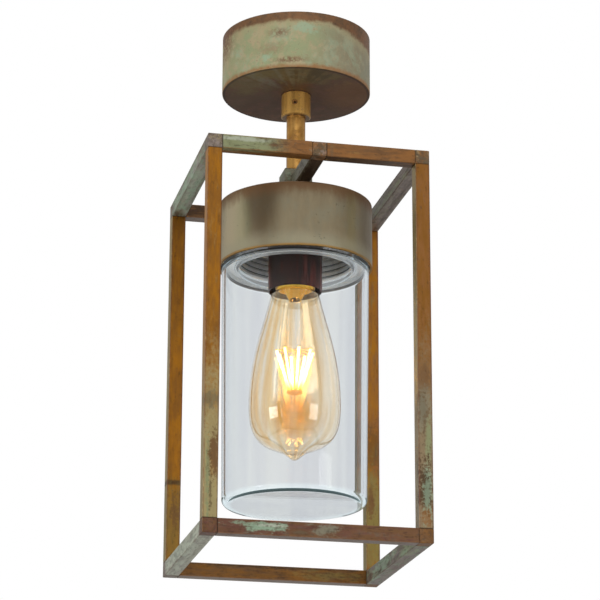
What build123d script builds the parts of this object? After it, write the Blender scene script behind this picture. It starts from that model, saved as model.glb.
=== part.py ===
from build123d import *
import os
from math import atan2, cos, radians, sin

# Outdoor ceiling light: an open box frame of square brass tube, hung on a short stem below
# a round ceiling rose, with a screw-in glass cup and a filament bulb inside the frame.
# Millimetres. The origin is the middle of the rose's rim on the ceiling, +Z points up,
# and the front of the light faces -Y.

# Ceiling rose, collar and stem
rose_diameter = 106.5
rose_height = 42.5
rose_wall = 1.25
rose_edge_radius = 1.0
collar_diameter = 21.0
collar_height = 17.5
collar_chamfer = 0.6
stem_diameter = 13.5
stem_drop = 59.5  # from the rose's underside to the hub
slide_clearance = 0.3  # collar and rose around the stem, on the radius

# Grub screw in the collar
grub_diameter = 4.0
grub_angle = 253.0  # direction of the screw about the stem, degrees from +X
grub_recess = 0.5  # below the collar's surface
grub_tip_gap = 0.2  # to the stem
grub_socket = 2.0  # across the flats
grub_socket_depth = 1.6

# Ceiling bracket
bracket_gap = 6.0  # from the bracket's ends to the rose's wall
bracket_width = 20.0
bracket_thickness = 2.0
bracket_drop = 20.0  # from the ceiling to the underside of its bridge
bracket_foot = 17.0  # from an end to the middle of the leg
bracket_bend = 1.5  # inside radius
slot_inset = 8.0  # from an end to the middle of the screw slot
slot_width = 5.0
slot_length = 10.0

# Threaded nipples, nuts and washers
nipple_diameter = 10.0
nipple_bore = 7.5
nipple_insert = 12.0  # length screwed into the stem
nipple_proud = 1.5  # above the upper nut
thread_clearance = 0.1
nut_flats = 14.0
nut_height = 4.0
washer_diameter = 18.0
washer_thickness = 1.0

# Terminal block, earth screw and leads
block_gap = 2.25  # from the stem to the terminal block
way_pitch = 8.0
way_count = 3
block_width = 14.0
block_height = 12.0
block_edge = 0.8
entry_height = 5.0  # wire holes above the block's underside
entry_diameter = 3.0
entry_depth = 4.0  # length of a lead inside the block
terminal_screw_diameter = 3.0
terminal_screw_inset = 2.8  # from the block's side
terminal_screw_recess = 0.4
fixing_diameter = 3.0
fixing_head_diameter = 5.5
fixing_head_height = 2.0
fixing_head_chamfer = 0.5
screw_clearance = 0.1
earth_offset = 16.0  # from the stem's axis to the earth screw
earth_diameter = 4.0
earth_head_diameter = 8.0
earth_head_height = 2.6
earth_head_radius = 0.9
earth_proud = 2.0  # end of the earth screw below the bridge
tag_thickness = 0.8
tag_diameter = 8.4
tag_barrel_diameter = 3.0
tag_barrel_length = 4.3
lead_diameter = 2.0
lead_bend = 4.0
lead_pass = 4.5  # from the bracket's edge to the live lead
lead_step = 3.0  # from the live lead to the neutral lead
lead_crown = 7.0  # leads below the ceiling where they cross to the stem
lead_spacing = 2.8  # between the two leads inside the stem
earth_pass = 3.0  # from the bracket's edge to the earth lead

# Frame of square tube
frame_width = 155.0
frame_depth = 155.0
frame_height = 276.0
bar_size = 10.0
bar_wall = 1.0
bar_chamfer = 0.4
spigot_length = 9.0
spigot_clearance = 0.1
hub_size = 20.0
hub_chamfer = 0.6

# Cap, its fixing and the threaded ring for the glass
spacer_height = 5.5
spacer_diameter = 16.0
cap_diameter = 108.5
cap_height = 46.5
cap_wall = 1.5
cap_edge_radius = 1.2
glass_ring_recess = 4.5  # flange above the cap's rim
glass_ring_wall = 2.5
glass_ring_flange = 1.5
solder_gap = 0.1

# Glass cup and its seal
seal_thickness = 3.0
seal_width = 3.0
seal_inset = 0.4  # inside the edge of the glass
glass_diameter = 104.0  # below the shoulder
glass_foot_diameter = 100.0
glass_height = 172.5  # from the shoulder to the underside
glass_wall = 2.5
glass_floor = 2.5
glass_foot_radius = 4.5
glass_floor_radius = 2.0  # inside, round the floor
glass_shoulder = 3.7
glass_shoulder_radius = 1.5
glass_inside_radius = 2.5
glass_neck_diameter = 85.5
glass_neck_wall = 3.0
glass_neck_height = 18.0
neck_clearance = 0.4  # to the threaded ring, on the radius

# Lamp holder
holder_diameter = 38.0
holder_length = 57.3
holder_wall = 2.6
holder_neck_diameter = 16.0
holder_neck_height = 3.0
dome_height = 22.0
dome_radius = 9.0
mouth_wall = 1.2
mouth_depth = 9.0
insert_height = 10.0
insert_chamfer = 2.5
sleeve_bore = 26.6
sleeve_wall = 0.7
sleeve_flange = 2.5
sleeve_flange_thickness = 0.8
sleeve_rise = 2.5  # lower end of the sleeve above the holder's mouth
contact_width = 6.0
contact_thickness = 0.6
contact_reach = 9.5
contact_tongue = 4.0
fit_gap = 0.1

# Bulb
bulb_diameter = 64.0
bulb_length = 123.0  # from the rim of its screw cap to its tip
bulb_rise = 1.5  # rim of its screw cap above the holder's mouth
bulb_wall = 0.8
bulb_neck_depth = 8.0  # length of the glass neck inside the screw cap
bulb_shoulder_diameter = 34.4
bulb_shoulder_drop = 4.5
bulb_shoulder_slope = 0.22  # widening per length below the shoulder
bulb_waist_diameter = 51.7
bulb_waist_drop = 37.4
bulb_widest_drop = 85.0
bulb_belly_diameter = 46.0
bulb_belly_rise = 12.0  # belly above the tip
bulb_belly_angle = 45.0  # of the belly's wall
bulb_belly_slope = 0.5  # drop per length towards the tip
bulb_cone_diameter = 16.6
bulb_cone_rise = 5.2  # foot of the belly above the tip
bulb_pip_radius = 4.2
bulb_pip_angle = 55.0
screw_cap_diameter = 26.0
screw_cap_wall = 0.5
screw_cap_height = 20.5
screw_cap_edge = 0.25
insulator_height = 4.5
insulator_diameter = 21.0
button_diameter = 9.6
button_height = 2.0
button_radius = 1.0
bulb_neck_gap = 0.3
mount_flare_depth = 6.0
mount_diameter = 8.0
mount_waist_drop = 8.0
mount_drop = 43.0
mount_foot_radius = 1.6
support_diameter = 1.6
arm_diameter = 0.8
arm_drop = 44.5
filament_count = 8
filament_diameter = 1.8
filament_top_radius = 13.0
filament_foot_radius = 4.0
filament_foot_drop = 74.0
filament_gap = 0.3
foot_disc_thickness = 1.0
foot_disc_margin = 1.5

# Levels, from the ceiling down
bridge_bottom = -bracket_drop
bridge_top = bridge_bottom + bracket_thickness
nipple_top = bridge_top + washer_thickness + nut_height + nipple_proud
rose_bottom = -rose_height
collar_bottom = rose_bottom - collar_height
hub_top = rose_bottom - stem_drop
hub_bottom = hub_top - hub_size
hub_middle = (hub_top + hub_bottom) / 2
frame_top = hub_middle + bar_size / 2
frame_bottom = frame_top - frame_height
top_bar_level = frame_top - bar_size / 2
bottom_bar_level = frame_bottom + bar_size / 2
cap_top = hub_bottom - spacer_height
cap_ceiling = cap_top - cap_wall
cap_bottom = cap_top - cap_height
holder_top = cap_ceiling - washer_thickness - nut_height
holder_joint = holder_top - dome_height
holder_bottom = holder_top - holder_length
dome_ceiling = holder_top - holder_neck_height - holder_wall
insert_bottom = holder_joint
insert_top = insert_bottom + insert_height
ring_level = cap_bottom + glass_ring_recess
shoulder_level = ring_level - seal_thickness
glass_bottom = shoulder_level - glass_height
bulb_rim = holder_bottom + bulb_rise
button_top = bulb_rim + screw_cap_height + insulator_height + button_height
bulb_tip = bulb_rim - bulb_length

# Radii and places that more than one piece uses
stem_radius = stem_diameter / 2
sliding_bore = stem_diameter + 2 * slide_clearance
threaded_bore = nipple_diameter + 2 * thread_clearance
bracket_length = rose_diameter - 2 * rose_wall - 2 * bracket_gap
post_x = (frame_width - bar_size) / 2
post_y = (frame_depth - bar_size) / 2
block_start = stem_radius + block_gap
block_length = way_pitch * way_count
block_bottom = bridge_bottom - block_height
entry_level = block_bottom + entry_height
way_places = [block_start + way_pitch * (way + 0.5) for way in range(way_count)]
fixing_x = block_start + way_pitch
neck_radius = glass_neck_diameter / 2
ring_bore = glass_neck_diameter + 2 * neck_clearance
sleeve_diameter = sleeve_bore + 2 * sleeve_wall
flange_diameter = sleeve_diameter + 2 * sleeve_flange

os.makedirs("parts", exist_ok=True)


def save(piece, name):
    """Label a finished piece and write it to its own file."""
    piece.part.label = name
    export_step(piece.part, f"parts/{name}.step")


def tube(diameter, bore, bottom, height):
    """A round tube or bush about the light's axis."""
    with BuildPart() as piece:
        with BuildSketch(Plane.XY.offset(bottom)):
            Circle(diameter / 2)
            Circle(bore / 2, mode=Mode.SUBTRACT)
        extrude(amount=height)
    return piece


def square_bar(start, direction, length):
    """A square brass tube from start along direction, with its outer edges broken."""
    with BuildPart() as piece:
        with BuildSketch(Plane(origin=start, z_dir=direction)) as section:
            Rectangle(bar_size, bar_size)
            chamfer(section.vertices(), bar_chamfer)
            Rectangle(bar_size - 2 * bar_wall, bar_size - 2 * bar_wall, mode=Mode.SUBTRACT)
        extrude(amount=length)
    return piece


def joint_block(centre, size, edge, spigots, bore=0.0):
    """A cube with a square spigot on each named side that plugs into a bar's end."""
    spigot_size = bar_size - 2 * bar_wall - 2 * spigot_clearance
    with BuildPart() as piece:
        with Locations(centre):
            Box(size, size, size)
        chamfer(piece.edges(), edge)
        for direction in spigots:
            side = Plane(origin=centre, z_dir=direction).offset(size / 2)
            with BuildSketch(side):
                Rectangle(spigot_size, spigot_size)
            extrude(amount=spigot_length)
        if bore:
            with Locations(centre):
                Cylinder(bore / 2, size, mode=Mode.SUBTRACT)
    return piece


def rod(start, end, diameter):
    """A straight round rod from start to end, joined to the piece being built."""
    path = Vector(end) - Vector(start)
    with BuildSketch(Plane(origin=start, z_dir=path)) as section:
        Circle(diameter / 2)
    extrude(section.sketch, amount=path.length)


def lead(points):
    """An insulated lead along straight runs joined by arcs."""
    with BuildPart() as piece:
        with BuildLine() as route:
            FilletPolyline(*points, radius=lead_bend)
        with BuildSketch(Plane(origin=route.line @ 0, z_dir=route.line % 0)):
            Circle(lead_diameter / 2)
        sweep()
    return piece


# Ceiling bracket: a strap with two slotted feet on the ceiling and a lowered bridge
with BuildPart() as ceiling_bracket:
    leg_x = bracket_length / 2 - bracket_foot
    foot_middle = -bracket_thickness / 2
    bridge_middle = bridge_bottom + bracket_thickness / 2
    with BuildSketch(Plane.XZ):
        with BuildLine():
            FilletPolyline(
                (-bracket_length / 2, foot_middle),
                (-leg_x, foot_middle),
                (-leg_x, bridge_middle),
                (leg_x, bridge_middle),
                (leg_x, foot_middle),
                (bracket_length / 2, foot_middle),
                radius=bracket_bend + bracket_thickness / 2,
            )
        trace(line_width=bracket_thickness)
    extrude(amount=bracket_width / 2, both=True)
    with BuildSketch(Plane.XY):
        with GridLocations(bracket_length - 2 * slot_inset, 0, 2, 1):
            SlotOverall(slot_length, slot_width)
    extrude(amount=-bracket_thickness, mode=Mode.SUBTRACT)
    with BuildSketch(Plane.XY.offset(bridge_top)):
        Circle(threaded_bore / 2)
        with Locations((fixing_x, 0)):
            Circle(fixing_diameter / 2 + screw_clearance)
        with Locations((-earth_offset, 0)):
            Circle(earth_diameter / 2 + screw_clearance)
    extrude(amount=-bracket_thickness, mode=Mode.SUBTRACT)
save(ceiling_bracket, "ceiling_bracket")

# Stem with its upper nipple, washer and nut on the bracket
save(tube(stem_diameter, threaded_bore, hub_top, bridge_bottom - hub_top), "stem")
nipple_foot = bridge_bottom - nipple_insert
save(tube(nipple_diameter, nipple_bore, nipple_foot, nipple_top - nipple_foot), "upper_nipple")

# Washers and nuts on the two nipples: one pair on the bracket, one inside the cap
with BuildPart() as nipple_washers:
    for washer_bottom in (bridge_top, cap_ceiling - washer_thickness):
        with BuildSketch(Plane.XY.offset(washer_bottom)):
            Circle(washer_diameter / 2)
            Circle(threaded_bore / 2, mode=Mode.SUBTRACT)
        extrude(amount=washer_thickness)
save(nipple_washers, "nipple_washers")

with BuildPart() as nipple_nuts:
    for nut_bottom in (bridge_top + washer_thickness, holder_top):
        with BuildSketch(Plane.XY.offset(nut_bottom)):
            RegularPolygon(nut_flats / 2, 6, major_radius=False)
            Circle(threaded_bore / 2, mode=Mode.SUBTRACT)
        extrude(amount=nut_height)
save(nipple_nuts, "nipple_nuts")

# Ceiling rose: a spun cup, open to the ceiling
with BuildPart() as rose:
    with BuildSketch(Plane.XY.offset(rose_bottom)):
        Circle(rose_diameter / 2)
    extrude(amount=rose_height)
    fillet(rose.edges().group_by(Axis.Z)[0], rose_edge_radius)
    offset(amount=-rose_wall, openings=rose.faces().sort_by(Axis.Z)[-1])
    with BuildSketch(Plane.XY.offset(rose_bottom)):
        Circle(sliding_bore / 2)
    extrude(amount=rose_wall, mode=Mode.SUBTRACT)
save(rose, "rose")

# Collar under the rose, with its cross hole, and the grub screw that clamps it
grub_direction = (cos(radians(grub_angle)), sin(radians(grub_angle)), 0)
grub_axis = Plane((0, 0, (rose_bottom + collar_bottom) / 2), z_dir=grub_direction)
grub_start = stem_radius + grub_tip_gap
grub_end = collar_diameter / 2 - grub_recess
with BuildPart() as collar:
    with BuildSketch(Plane.XY.offset(collar_bottom)):
        Circle(collar_diameter / 2)
    extrude(amount=collar_height)
    chamfer(collar.edges(), collar_chamfer)
    with BuildSketch(Plane.XY.offset(collar_bottom)):
        Circle(sliding_bore / 2)
    extrude(amount=collar_height, mode=Mode.SUBTRACT)
    with BuildSketch(grub_axis):
        Circle(grub_diameter / 2 + screw_clearance)
    extrude(amount=collar_diameter, mode=Mode.SUBTRACT)
save(collar, "collar")

with BuildPart() as grub_screw:
    with BuildSketch(grub_axis.offset(grub_start)):
        Circle(grub_diameter / 2)
    extrude(amount=grub_end - grub_start)
    with BuildSketch(grub_axis.offset(grub_end)):
        RegularPolygon(grub_socket / 2, 6, major_radius=False)
    extrude(amount=-grub_socket_depth, mode=Mode.SUBTRACT)
save(grub_screw, "grub_screw")

# Terminal block under the bridge, with its wire holes along Y and screws from below
block_middle = block_start + block_length / 2
screw_y = block_width / 2 - terminal_screw_inset
with BuildPart() as terminal_block:
    with BuildSketch(Plane((block_middle, 0, block_bottom))):
        Rectangle(block_length, block_width)
    extrude(amount=block_height)
    fillet(terminal_block.edges().filter_by(Axis.Z), block_edge)
    with BuildSketch(Plane.XZ.offset(-block_width / 2)):
        with Locations(*[(x, entry_level) for x in way_places]):
            Circle(entry_diameter / 2)
    extrude(amount=block_width, mode=Mode.SUBTRACT)
    with BuildSketch(Plane.XY.offset(block_bottom)):
        with Locations(*[(x, side * screw_y) for x in way_places for side in (-1, 1)]):
            Circle(terminal_screw_diameter / 2 + screw_clearance)
    extrude(amount=entry_height, mode=Mode.SUBTRACT)
    with BuildSketch(Plane((fixing_x, 0, block_bottom))):
        Circle(fixing_diameter / 2 + screw_clearance)
    extrude(amount=block_height, mode=Mode.SUBTRACT)
save(terminal_block, "terminal_block")

with BuildPart() as terminal_screws:
    screw_start = block_bottom + terminal_screw_recess
    screw_end = entry_level - lead_diameter / 2 - screw_clearance
    with BuildSketch(Plane.XY.offset(screw_start)):
        with Locations(*[(x, side * screw_y) for x in way_places for side in (-1, 1)]):
            Circle(terminal_screw_diameter / 2)
    extrude(amount=screw_end - screw_start)
save(terminal_screws, "terminal_screws")

with BuildPart() as block_screw:
    with BuildSketch(Plane((fixing_x, 0, block_bottom - fixing_head_height))):
        Circle(fixing_head_diameter / 2)
    extrude(amount=fixing_head_height)
    chamfer(block_screw.edges().group_by(Axis.Z)[0], fixing_head_chamfer)
    with BuildSketch(Plane((fixing_x, 0, block_bottom))):
        Circle(fixing_diameter / 2)
    extrude(amount=bridge_top - block_bottom)
save(block_screw, "block_screw")

# Earth screw, tapped into the bridge over the earth lead's tag
tag_top = bridge_top + tag_thickness
with BuildPart() as earth_screw:
    earth_shank = tag_top - bridge_bottom + earth_proud
    with BuildSketch(Plane((-earth_offset, 0, tag_top))):
        Circle(earth_head_diameter / 2)
    extrude(amount=earth_head_height)
    fillet(earth_screw.edges().group_by(Axis.Z)[-1], earth_head_radius)
    with BuildSketch(Plane((-earth_offset, 0, tag_top))):
        Circle(earth_diameter / 2)
    extrude(amount=-earth_shank)
save(earth_screw, "earth_screw")

# Leads: live and neutral cross over the bridge and run down the stem to the lamp holder
lead_start = block_width / 2 - entry_depth
live_x = way_places[1]
neutral_x = way_places[2]
live_y = bracket_width / 2 + lead_pass
neutral_y = live_y + lead_step
cross_angle = atan2(live_y, live_x)
bore_x = -sin(cross_angle) * lead_spacing / 2
bore_y = cos(cross_angle) * lead_spacing / 2
save(lead([
    (live_x, lead_start, entry_level),
    (live_x, live_y, entry_level),
    (live_x, live_y, -lead_crown),
    (bore_x, bore_y, -lead_crown),
    (bore_x, bore_y, insert_top),
]), "live_lead")
save(lead([
    (neutral_x, lead_start, entry_level),
    (neutral_x, neutral_y, entry_level),
    (neutral_x, neutral_y, -lead_crown),
    (-bore_x, -bore_y, -lead_crown),
    (-bore_x, -bore_y, insert_top),
]), "neutral_lead")

# Earth lead, with its ring tag crimped on
earth_y = bracket_width / 2 + earth_pass
barrel_start = earth_head_diameter / 2 + screw_clearance
barrel_end = barrel_start + tag_barrel_length
barrel_level = bridge_top + tag_barrel_diameter / 2
with BuildPart() as earth_lead:
    with BuildLine() as route:
        FilletPolyline(
            (way_places[0], lead_start, entry_level),
            (way_places[0], earth_y, entry_level),
            (-earth_offset, earth_y, entry_level),
            (-earth_offset, earth_y, barrel_level),
            (-earth_offset, barrel_start, barrel_level),
            radius=lead_bend,
        )
    with BuildSketch(Plane(origin=route.line @ 0, z_dir=route.line % 0)):
        Circle(lead_diameter / 2)
    sweep()
    rod((-earth_offset, barrel_start, barrel_level), (-earth_offset, barrel_end, barrel_level),
        tag_barrel_diameter)
    with BuildSketch(Plane((-earth_offset, 0, bridge_top))):
        Circle(tag_diameter / 2)
        Circle(earth_diameter / 2 + screw_clearance, mode=Mode.SUBTRACT)
    extrude(amount=tag_thickness)
save(earth_lead, "earth_lead")

# Frame: corner blocks, posts and bars
sides = {"front": -1, "back": 1}
ends = {"left": -1, "right": 1}
for side, sy in sides.items():
    for end, sx in ends.items():
        for level, z, down in (("top", top_bar_level, -1), ("bottom", bottom_bar_level, 1)):
            block = joint_block(
                (sx * post_x, sy * post_y, z), bar_size, bar_chamfer,
                [(-sx, 0, 0), (0, -sy, 0), (0, 0, down)],
            )
            save(block, f"corner_{side}_{end}_{level}")
        post = square_bar((sx * post_x, sy * post_y, frame_bottom + bar_size), (0, 0, 1),
                          frame_height - 2 * bar_size)
        save(post, f"post_{side}_{end}")
        half_length = post_x - bar_size
        half_bar = square_bar((sx * bar_size / 2, sy * post_y, top_bar_level), (sx, 0, 0),
                              half_length)
        save(half_bar, f"top_bar_{side}_{end}")
    bottom_bar = square_bar((-post_x + bar_size / 2, sy * post_y, bottom_bar_level), (1, 0, 0),
                            frame_width - 2 * bar_size)
    save(bottom_bar, f"bottom_bar_{side}")
    middle = joint_block((0, sy * post_y, top_bar_level), bar_size, bar_chamfer,
                         [(-1, 0, 0), (1, 0, 0), (0, -sy, 0)])
    save(middle, f"middle_block_{side}")
    cross_bar = square_bar((0, sy * hub_size / 2, top_bar_level), (0, sy, 0),
                           post_y - bar_size / 2 - hub_size / 2)
    save(cross_bar, f"cross_bar_{side}")
for end, sx in ends.items():
    for level, z in (("top", top_bar_level), ("bottom", bottom_bar_level)):
        side_bar = square_bar((sx * post_x, -post_y + bar_size / 2, z), (0, 1, 0),
                              frame_depth - 2 * bar_size)
        save(side_bar, f"{level}_bar_{end}")
hub_block = joint_block((0, 0, hub_middle), hub_size, hub_chamfer,
                        [(0, -1, 0), (0, 1, 0)], threaded_bore)
save(hub_block, "hub_block")

# Lower nipple from the stem through hub and cap into the lamp holder, with its fixings
lower_top = hub_top + nipple_insert
save(tube(nipple_diameter, nipple_bore, dome_ceiling, lower_top - dome_ceiling), "lower_nipple")
save(tube(spacer_diameter, threaded_bore, cap_top, spacer_height), "spacer_bush")

# Cap: a spun cup, open below
with BuildPart() as cap:
    with BuildSketch(Plane.XY.offset(cap_bottom)):
        Circle(cap_diameter / 2)
    extrude(amount=cap_height)
    fillet(cap.edges().group_by(Axis.Z)[-1], cap_edge_radius)
    offset(amount=-cap_wall, openings=cap.faces().sort_by(Axis.Z)[0])
    with BuildSketch(Plane.XY.offset(cap_top)):
        Circle(threaded_bore / 2)
    extrude(amount=-cap_wall, mode=Mode.SUBTRACT)
save(cap, "cap")

# Threaded ring for the glass, with a flange soldered into the cap above its rim
with BuildPart() as glass_ring:
    flange_bore = ring_bore + 2 * glass_ring_wall
    with BuildSketch(Plane.XY.offset(ring_level)):
        Circle(cap_diameter / 2 - cap_wall - solder_gap)
    extrude(amount=glass_ring_flange)
    with BuildSketch(Plane.XY.offset(ring_level)):
        Circle(flange_bore / 2)
    extrude(amount=glass_neck_height)
    with BuildSketch(Plane.XY.offset(ring_level)):
        Circle(ring_bore / 2)
    extrude(amount=glass_neck_height, mode=Mode.SUBTRACT)
save(glass_ring, "glass_ring")

# Seal between the ring's flange and the shoulder of the glass
seal_diameter = glass_diameter - 2 * seal_inset
seal_bore = seal_diameter - 2 * seal_width
save(tube(seal_diameter, seal_bore, shoulder_level, seal_thickness), "glass_seal")

# Glass cup: tapered wall, floor, rounded foot, shoulder and screw neck
with BuildPart() as glass:
    neck_inside = neck_radius - glass_neck_wall
    shoulder_radius = glass_diameter / 2
    foot_radius = glass_foot_diameter / 2
    inner_top = shoulder_level - glass_shoulder
    inner_floor = glass_bottom + glass_floor
    with BuildSketch(Plane.XZ) as section:
        with BuildLine():
            Polyline(
                (0, glass_bottom),
                (foot_radius, glass_bottom),
                (shoulder_radius, shoulder_level),
                (neck_radius, shoulder_level),
                (neck_radius, shoulder_level + glass_neck_height),
                (neck_inside, shoulder_level + glass_neck_height),
                (neck_inside, inner_top),
                (shoulder_radius - glass_wall, inner_top),
                (foot_radius - glass_wall, inner_floor),
                (0, inner_floor),
                close=True,
            )
        make_face()
        corners = section.vertices()
        fillet(corners.sort_by_distance((foot_radius, glass_bottom))[0], glass_foot_radius)
        corners = section.vertices()
        fillet(corners.sort_by_distance((shoulder_radius, shoulder_level))[0],
               glass_shoulder_radius)
        corners = section.vertices()
        fillet(corners.sort_by_distance((foot_radius - glass_wall, inner_floor))[0],
               glass_floor_radius)
        corners = section.vertices()
        fillet(corners.sort_by_distance((shoulder_radius - glass_wall, inner_top))[0],
               glass_inside_radius)
    revolve(axis=Axis.Z)
save(glass, "glass")

# Lamp holder: dome on the nipple, contact block, skirt, threaded sleeve and centre contact
holder_radius = holder_diameter / 2
with BuildPart() as holder_dome:
    with BuildSketch(Plane.XZ) as section:
        with BuildLine():
            Polyline(
                (threaded_bore / 2, holder_top),
                (holder_neck_diameter / 2, holder_top),
                (holder_neck_diameter / 2, holder_top - holder_neck_height),
                (holder_radius, holder_top - holder_neck_height),
                (holder_radius, holder_joint),
                (holder_radius - holder_wall, holder_joint),
                (holder_radius - holder_wall, dome_ceiling),
                (threaded_bore / 2, dome_ceiling),
                close=True,
            )
        make_face()
        corners = section.vertices()
        fillet(corners.sort_by_distance((holder_radius, holder_top - holder_neck_height))[0],
               dome_radius)
        corners = section.vertices()
        fillet(corners.sort_by_distance((holder_radius - holder_wall, dome_ceiling))[0],
               dome_radius - holder_wall)
    revolve(axis=Axis.Z)
save(holder_dome, "holder_dome")

with BuildPart() as holder_insert:
    with BuildSketch(Plane.XY.offset(insert_bottom)):
        Circle(holder_radius - holder_wall - fit_gap)
    extrude(amount=insert_height)
    chamfer(holder_insert.edges().group_by(Axis.Z)[-1], insert_chamfer)
save(holder_insert, "holder_insert")

with BuildPart() as holder_skirt:
    with BuildSketch(Plane.XY.offset(holder_bottom)):
        Circle(holder_radius)
    extrude(amount=holder_joint - holder_bottom)
    with BuildSketch(Plane.XY.offset(holder_bottom)):
        Circle(holder_radius - mouth_wall)
    extrude(amount=mouth_depth, mode=Mode.SUBTRACT)
    with BuildSketch(Plane.XY.offset(holder_bottom)):
        Circle(sleeve_diameter / 2 + fit_gap)
    extrude(amount=holder_joint - holder_bottom, mode=Mode.SUBTRACT)
    with BuildSketch(Plane.XY.offset(holder_joint)):
        Circle(flange_diameter / 2 + fit_gap)
    extrude(amount=-sleeve_flange_thickness, mode=Mode.SUBTRACT)
save(holder_skirt, "holder_skirt")

with BuildPart() as holder_sleeve:
    sleeve_bottom = holder_bottom + sleeve_rise
    with BuildSketch(Plane.XY.offset(sleeve_bottom)):
        Circle(sleeve_diameter / 2)
    extrude(amount=holder_joint - sleeve_bottom)
    with BuildSketch(Plane.XY.offset(holder_joint)):
        Circle(flange_diameter / 2)
    extrude(amount=-sleeve_flange_thickness)
    with BuildSketch(Plane.XY.offset(sleeve_bottom)):
        Circle(sleeve_bore / 2)
    extrude(amount=holder_joint - sleeve_bottom, mode=Mode.SUBTRACT)
save(holder_sleeve, "holder_sleeve")

with BuildPart() as holder_contact:
    tongue_level = button_top + contact_thickness / 2
    with BuildSketch(Plane.XZ):
        with BuildLine():
            FilletPolyline(
                (contact_reach, insert_bottom),
                (contact_reach, tongue_level),
                (-contact_tongue, tongue_level),
                radius=contact_thickness,
            )
        trace(line_width=contact_thickness)
    extrude(amount=contact_width / 2, both=True)
save(holder_contact, "holder_contact")

# Bulb: screw cap, insulator and contact button
with BuildPart() as bulb_cap:
    cap_inside = screw_cap_diameter / 2 - screw_cap_wall
    with BuildSketch(Plane.XY.offset(bulb_rim)):
        Circle(screw_cap_diameter / 2)
    extrude(amount=screw_cap_height)
    with BuildSketch(Plane.XY.offset(bulb_rim)):
        Circle(cap_inside)
    extrude(amount=screw_cap_height - screw_cap_wall, mode=Mode.SUBTRACT)
    chamfer(bulb_cap.edges().group_by(Axis.Z)[-1], screw_cap_edge)
save(bulb_cap, "bulb_cap")

with BuildPart() as bulb_insulator:
    with BuildSketch(Plane.XY.offset(bulb_rim + screw_cap_height)):
        Circle(insulator_diameter / 2)
    with BuildSketch(Plane.XY.offset(bulb_rim + screw_cap_height + insulator_height)):
        Circle(button_diameter / 2)
    loft()
save(bulb_insulator, "bulb_insulator")

with BuildPart() as bulb_contact:
    with BuildSketch(Plane.XY.offset(button_top - button_height)):
        Circle(button_diameter / 2)
    extrude(amount=button_height)
    fillet(bulb_contact.edges().group_by(Axis.Z)[-1], button_radius)
save(bulb_contact, "bulb_contact")


def bulb_outline(inset):
    """Half outline of the bulb's glass from its neck to its tip, set in by inset."""
    neck = cap_inside - bulb_neck_gap - inset
    shoulder = (bulb_shoulder_diameter / 2 - inset, bulb_rim - bulb_shoulder_drop)
    waist = (bulb_waist_diameter / 2 - inset, bulb_rim - bulb_waist_drop)
    widest = (bulb_diameter / 2 - inset, bulb_rim - bulb_widest_drop)
    belly = (bulb_belly_diameter / 2 - inset * sin(radians(bulb_belly_angle)),
             bulb_tip + bulb_belly_rise + inset * cos(radians(bulb_belly_angle)))
    cone = (bulb_cone_diameter / 2, bulb_tip + bulb_cone_rise + inset)
    pip_middle = bulb_tip + bulb_pip_radius
    pip_turn = 90 - bulb_pip_angle
    Polyline((neck, bulb_rim + bulb_neck_depth), (neck, bulb_rim), shoulder)
    Spline(shoulder, waist, widest, tangents=[(bulb_shoulder_slope, -1), (0, -1)])
    Spline(widest, belly, cone, tangents=[(0, -1), (-1, -bulb_belly_slope)])
    pip = CenterArc((0, pip_middle), bulb_pip_radius - inset, 270, pip_turn)
    Line(cone, pip @ 1)


# Glass envelope of the bulb, blown thin, with the pip at its tip
with BuildPart() as bulb_glass:
    neck_top = bulb_rim + bulb_neck_depth
    neck_outside = cap_inside - bulb_neck_gap
    with BuildSketch(Plane.XZ):
        with BuildLine():
            bulb_outline(0)
            bulb_outline(bulb_wall)
            Line((neck_outside, neck_top), (neck_outside - bulb_wall, neck_top))
            Line((0, bulb_tip), (0, bulb_tip + bulb_wall))
        make_face()
    revolve(axis=Axis.Z)
save(bulb_glass, "bulb_glass")

# Glass mount inside the neck, and the support with its arms and foot disc
flare_radius = cap_inside - bulb_neck_gap - bulb_wall - fit_gap
mount_foot = bulb_rim - mount_drop
with BuildPart() as bulb_mount:
    with BuildSketch(Plane.XZ):
        with BuildLine():
            Polyline(
                (0, bulb_rim + mount_flare_depth),
                (flare_radius, bulb_rim + mount_flare_depth),
                (mount_diameter / 2, bulb_rim - mount_waist_drop),
                (mount_diameter / 2, mount_foot),
                (0, mount_foot),
                close=True,
            )
        make_face()
    revolve(axis=Axis.Z)
    fillet(bulb_mount.edges().group_by(Axis.Z)[0], mount_foot_radius)
save(bulb_mount, "bulb_mount")

arm_level = bulb_rim - arm_drop
foot_disc_top = bulb_rim - filament_foot_drop
with BuildPart() as bulb_support:
    rod((0, 0, mount_foot), (0, 0, foot_disc_top), support_diameter)
    for number in range(filament_count):
        turn = radians(360 / filament_count * number)
        arm_end = filament_top_radius + filament_diameter / 2
        rod((0, 0, arm_level), (arm_end * cos(turn), arm_end * sin(turn), arm_level), arm_diameter)
    with BuildSketch(Plane.XY.offset(foot_disc_top)):
        Circle(filament_foot_radius + foot_disc_margin)
    extrude(amount=-foot_disc_thickness)
save(bulb_support, "bulb_support")

with BuildPart() as bulb_filaments:
    stick_top = arm_level - arm_diameter / 2 - filament_gap
    stick_foot = foot_disc_top + filament_gap
    for number in range(filament_count):
        turn = radians(360 / filament_count * number)
        rod((filament_top_radius * cos(turn), filament_top_radius * sin(turn), stick_top),
            (filament_foot_radius * cos(turn), filament_foot_radius * sin(turn), stick_foot),
            filament_diameter)
save(bulb_filaments, "bulb_filaments")
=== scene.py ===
"""Outdoor ceiling light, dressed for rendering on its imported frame.

The frame holds every piece in its place. This file gives each piece its finish, makes the threaded,
slotted and rounded pieces that the frame holds as plain solids, and sets up the studio.
"""
import math

import bpy
import numpy as np
from bpy.props import FloatProperty, FloatVectorProperty, PointerProperty
from mathutils import Matrix, Vector


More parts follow.
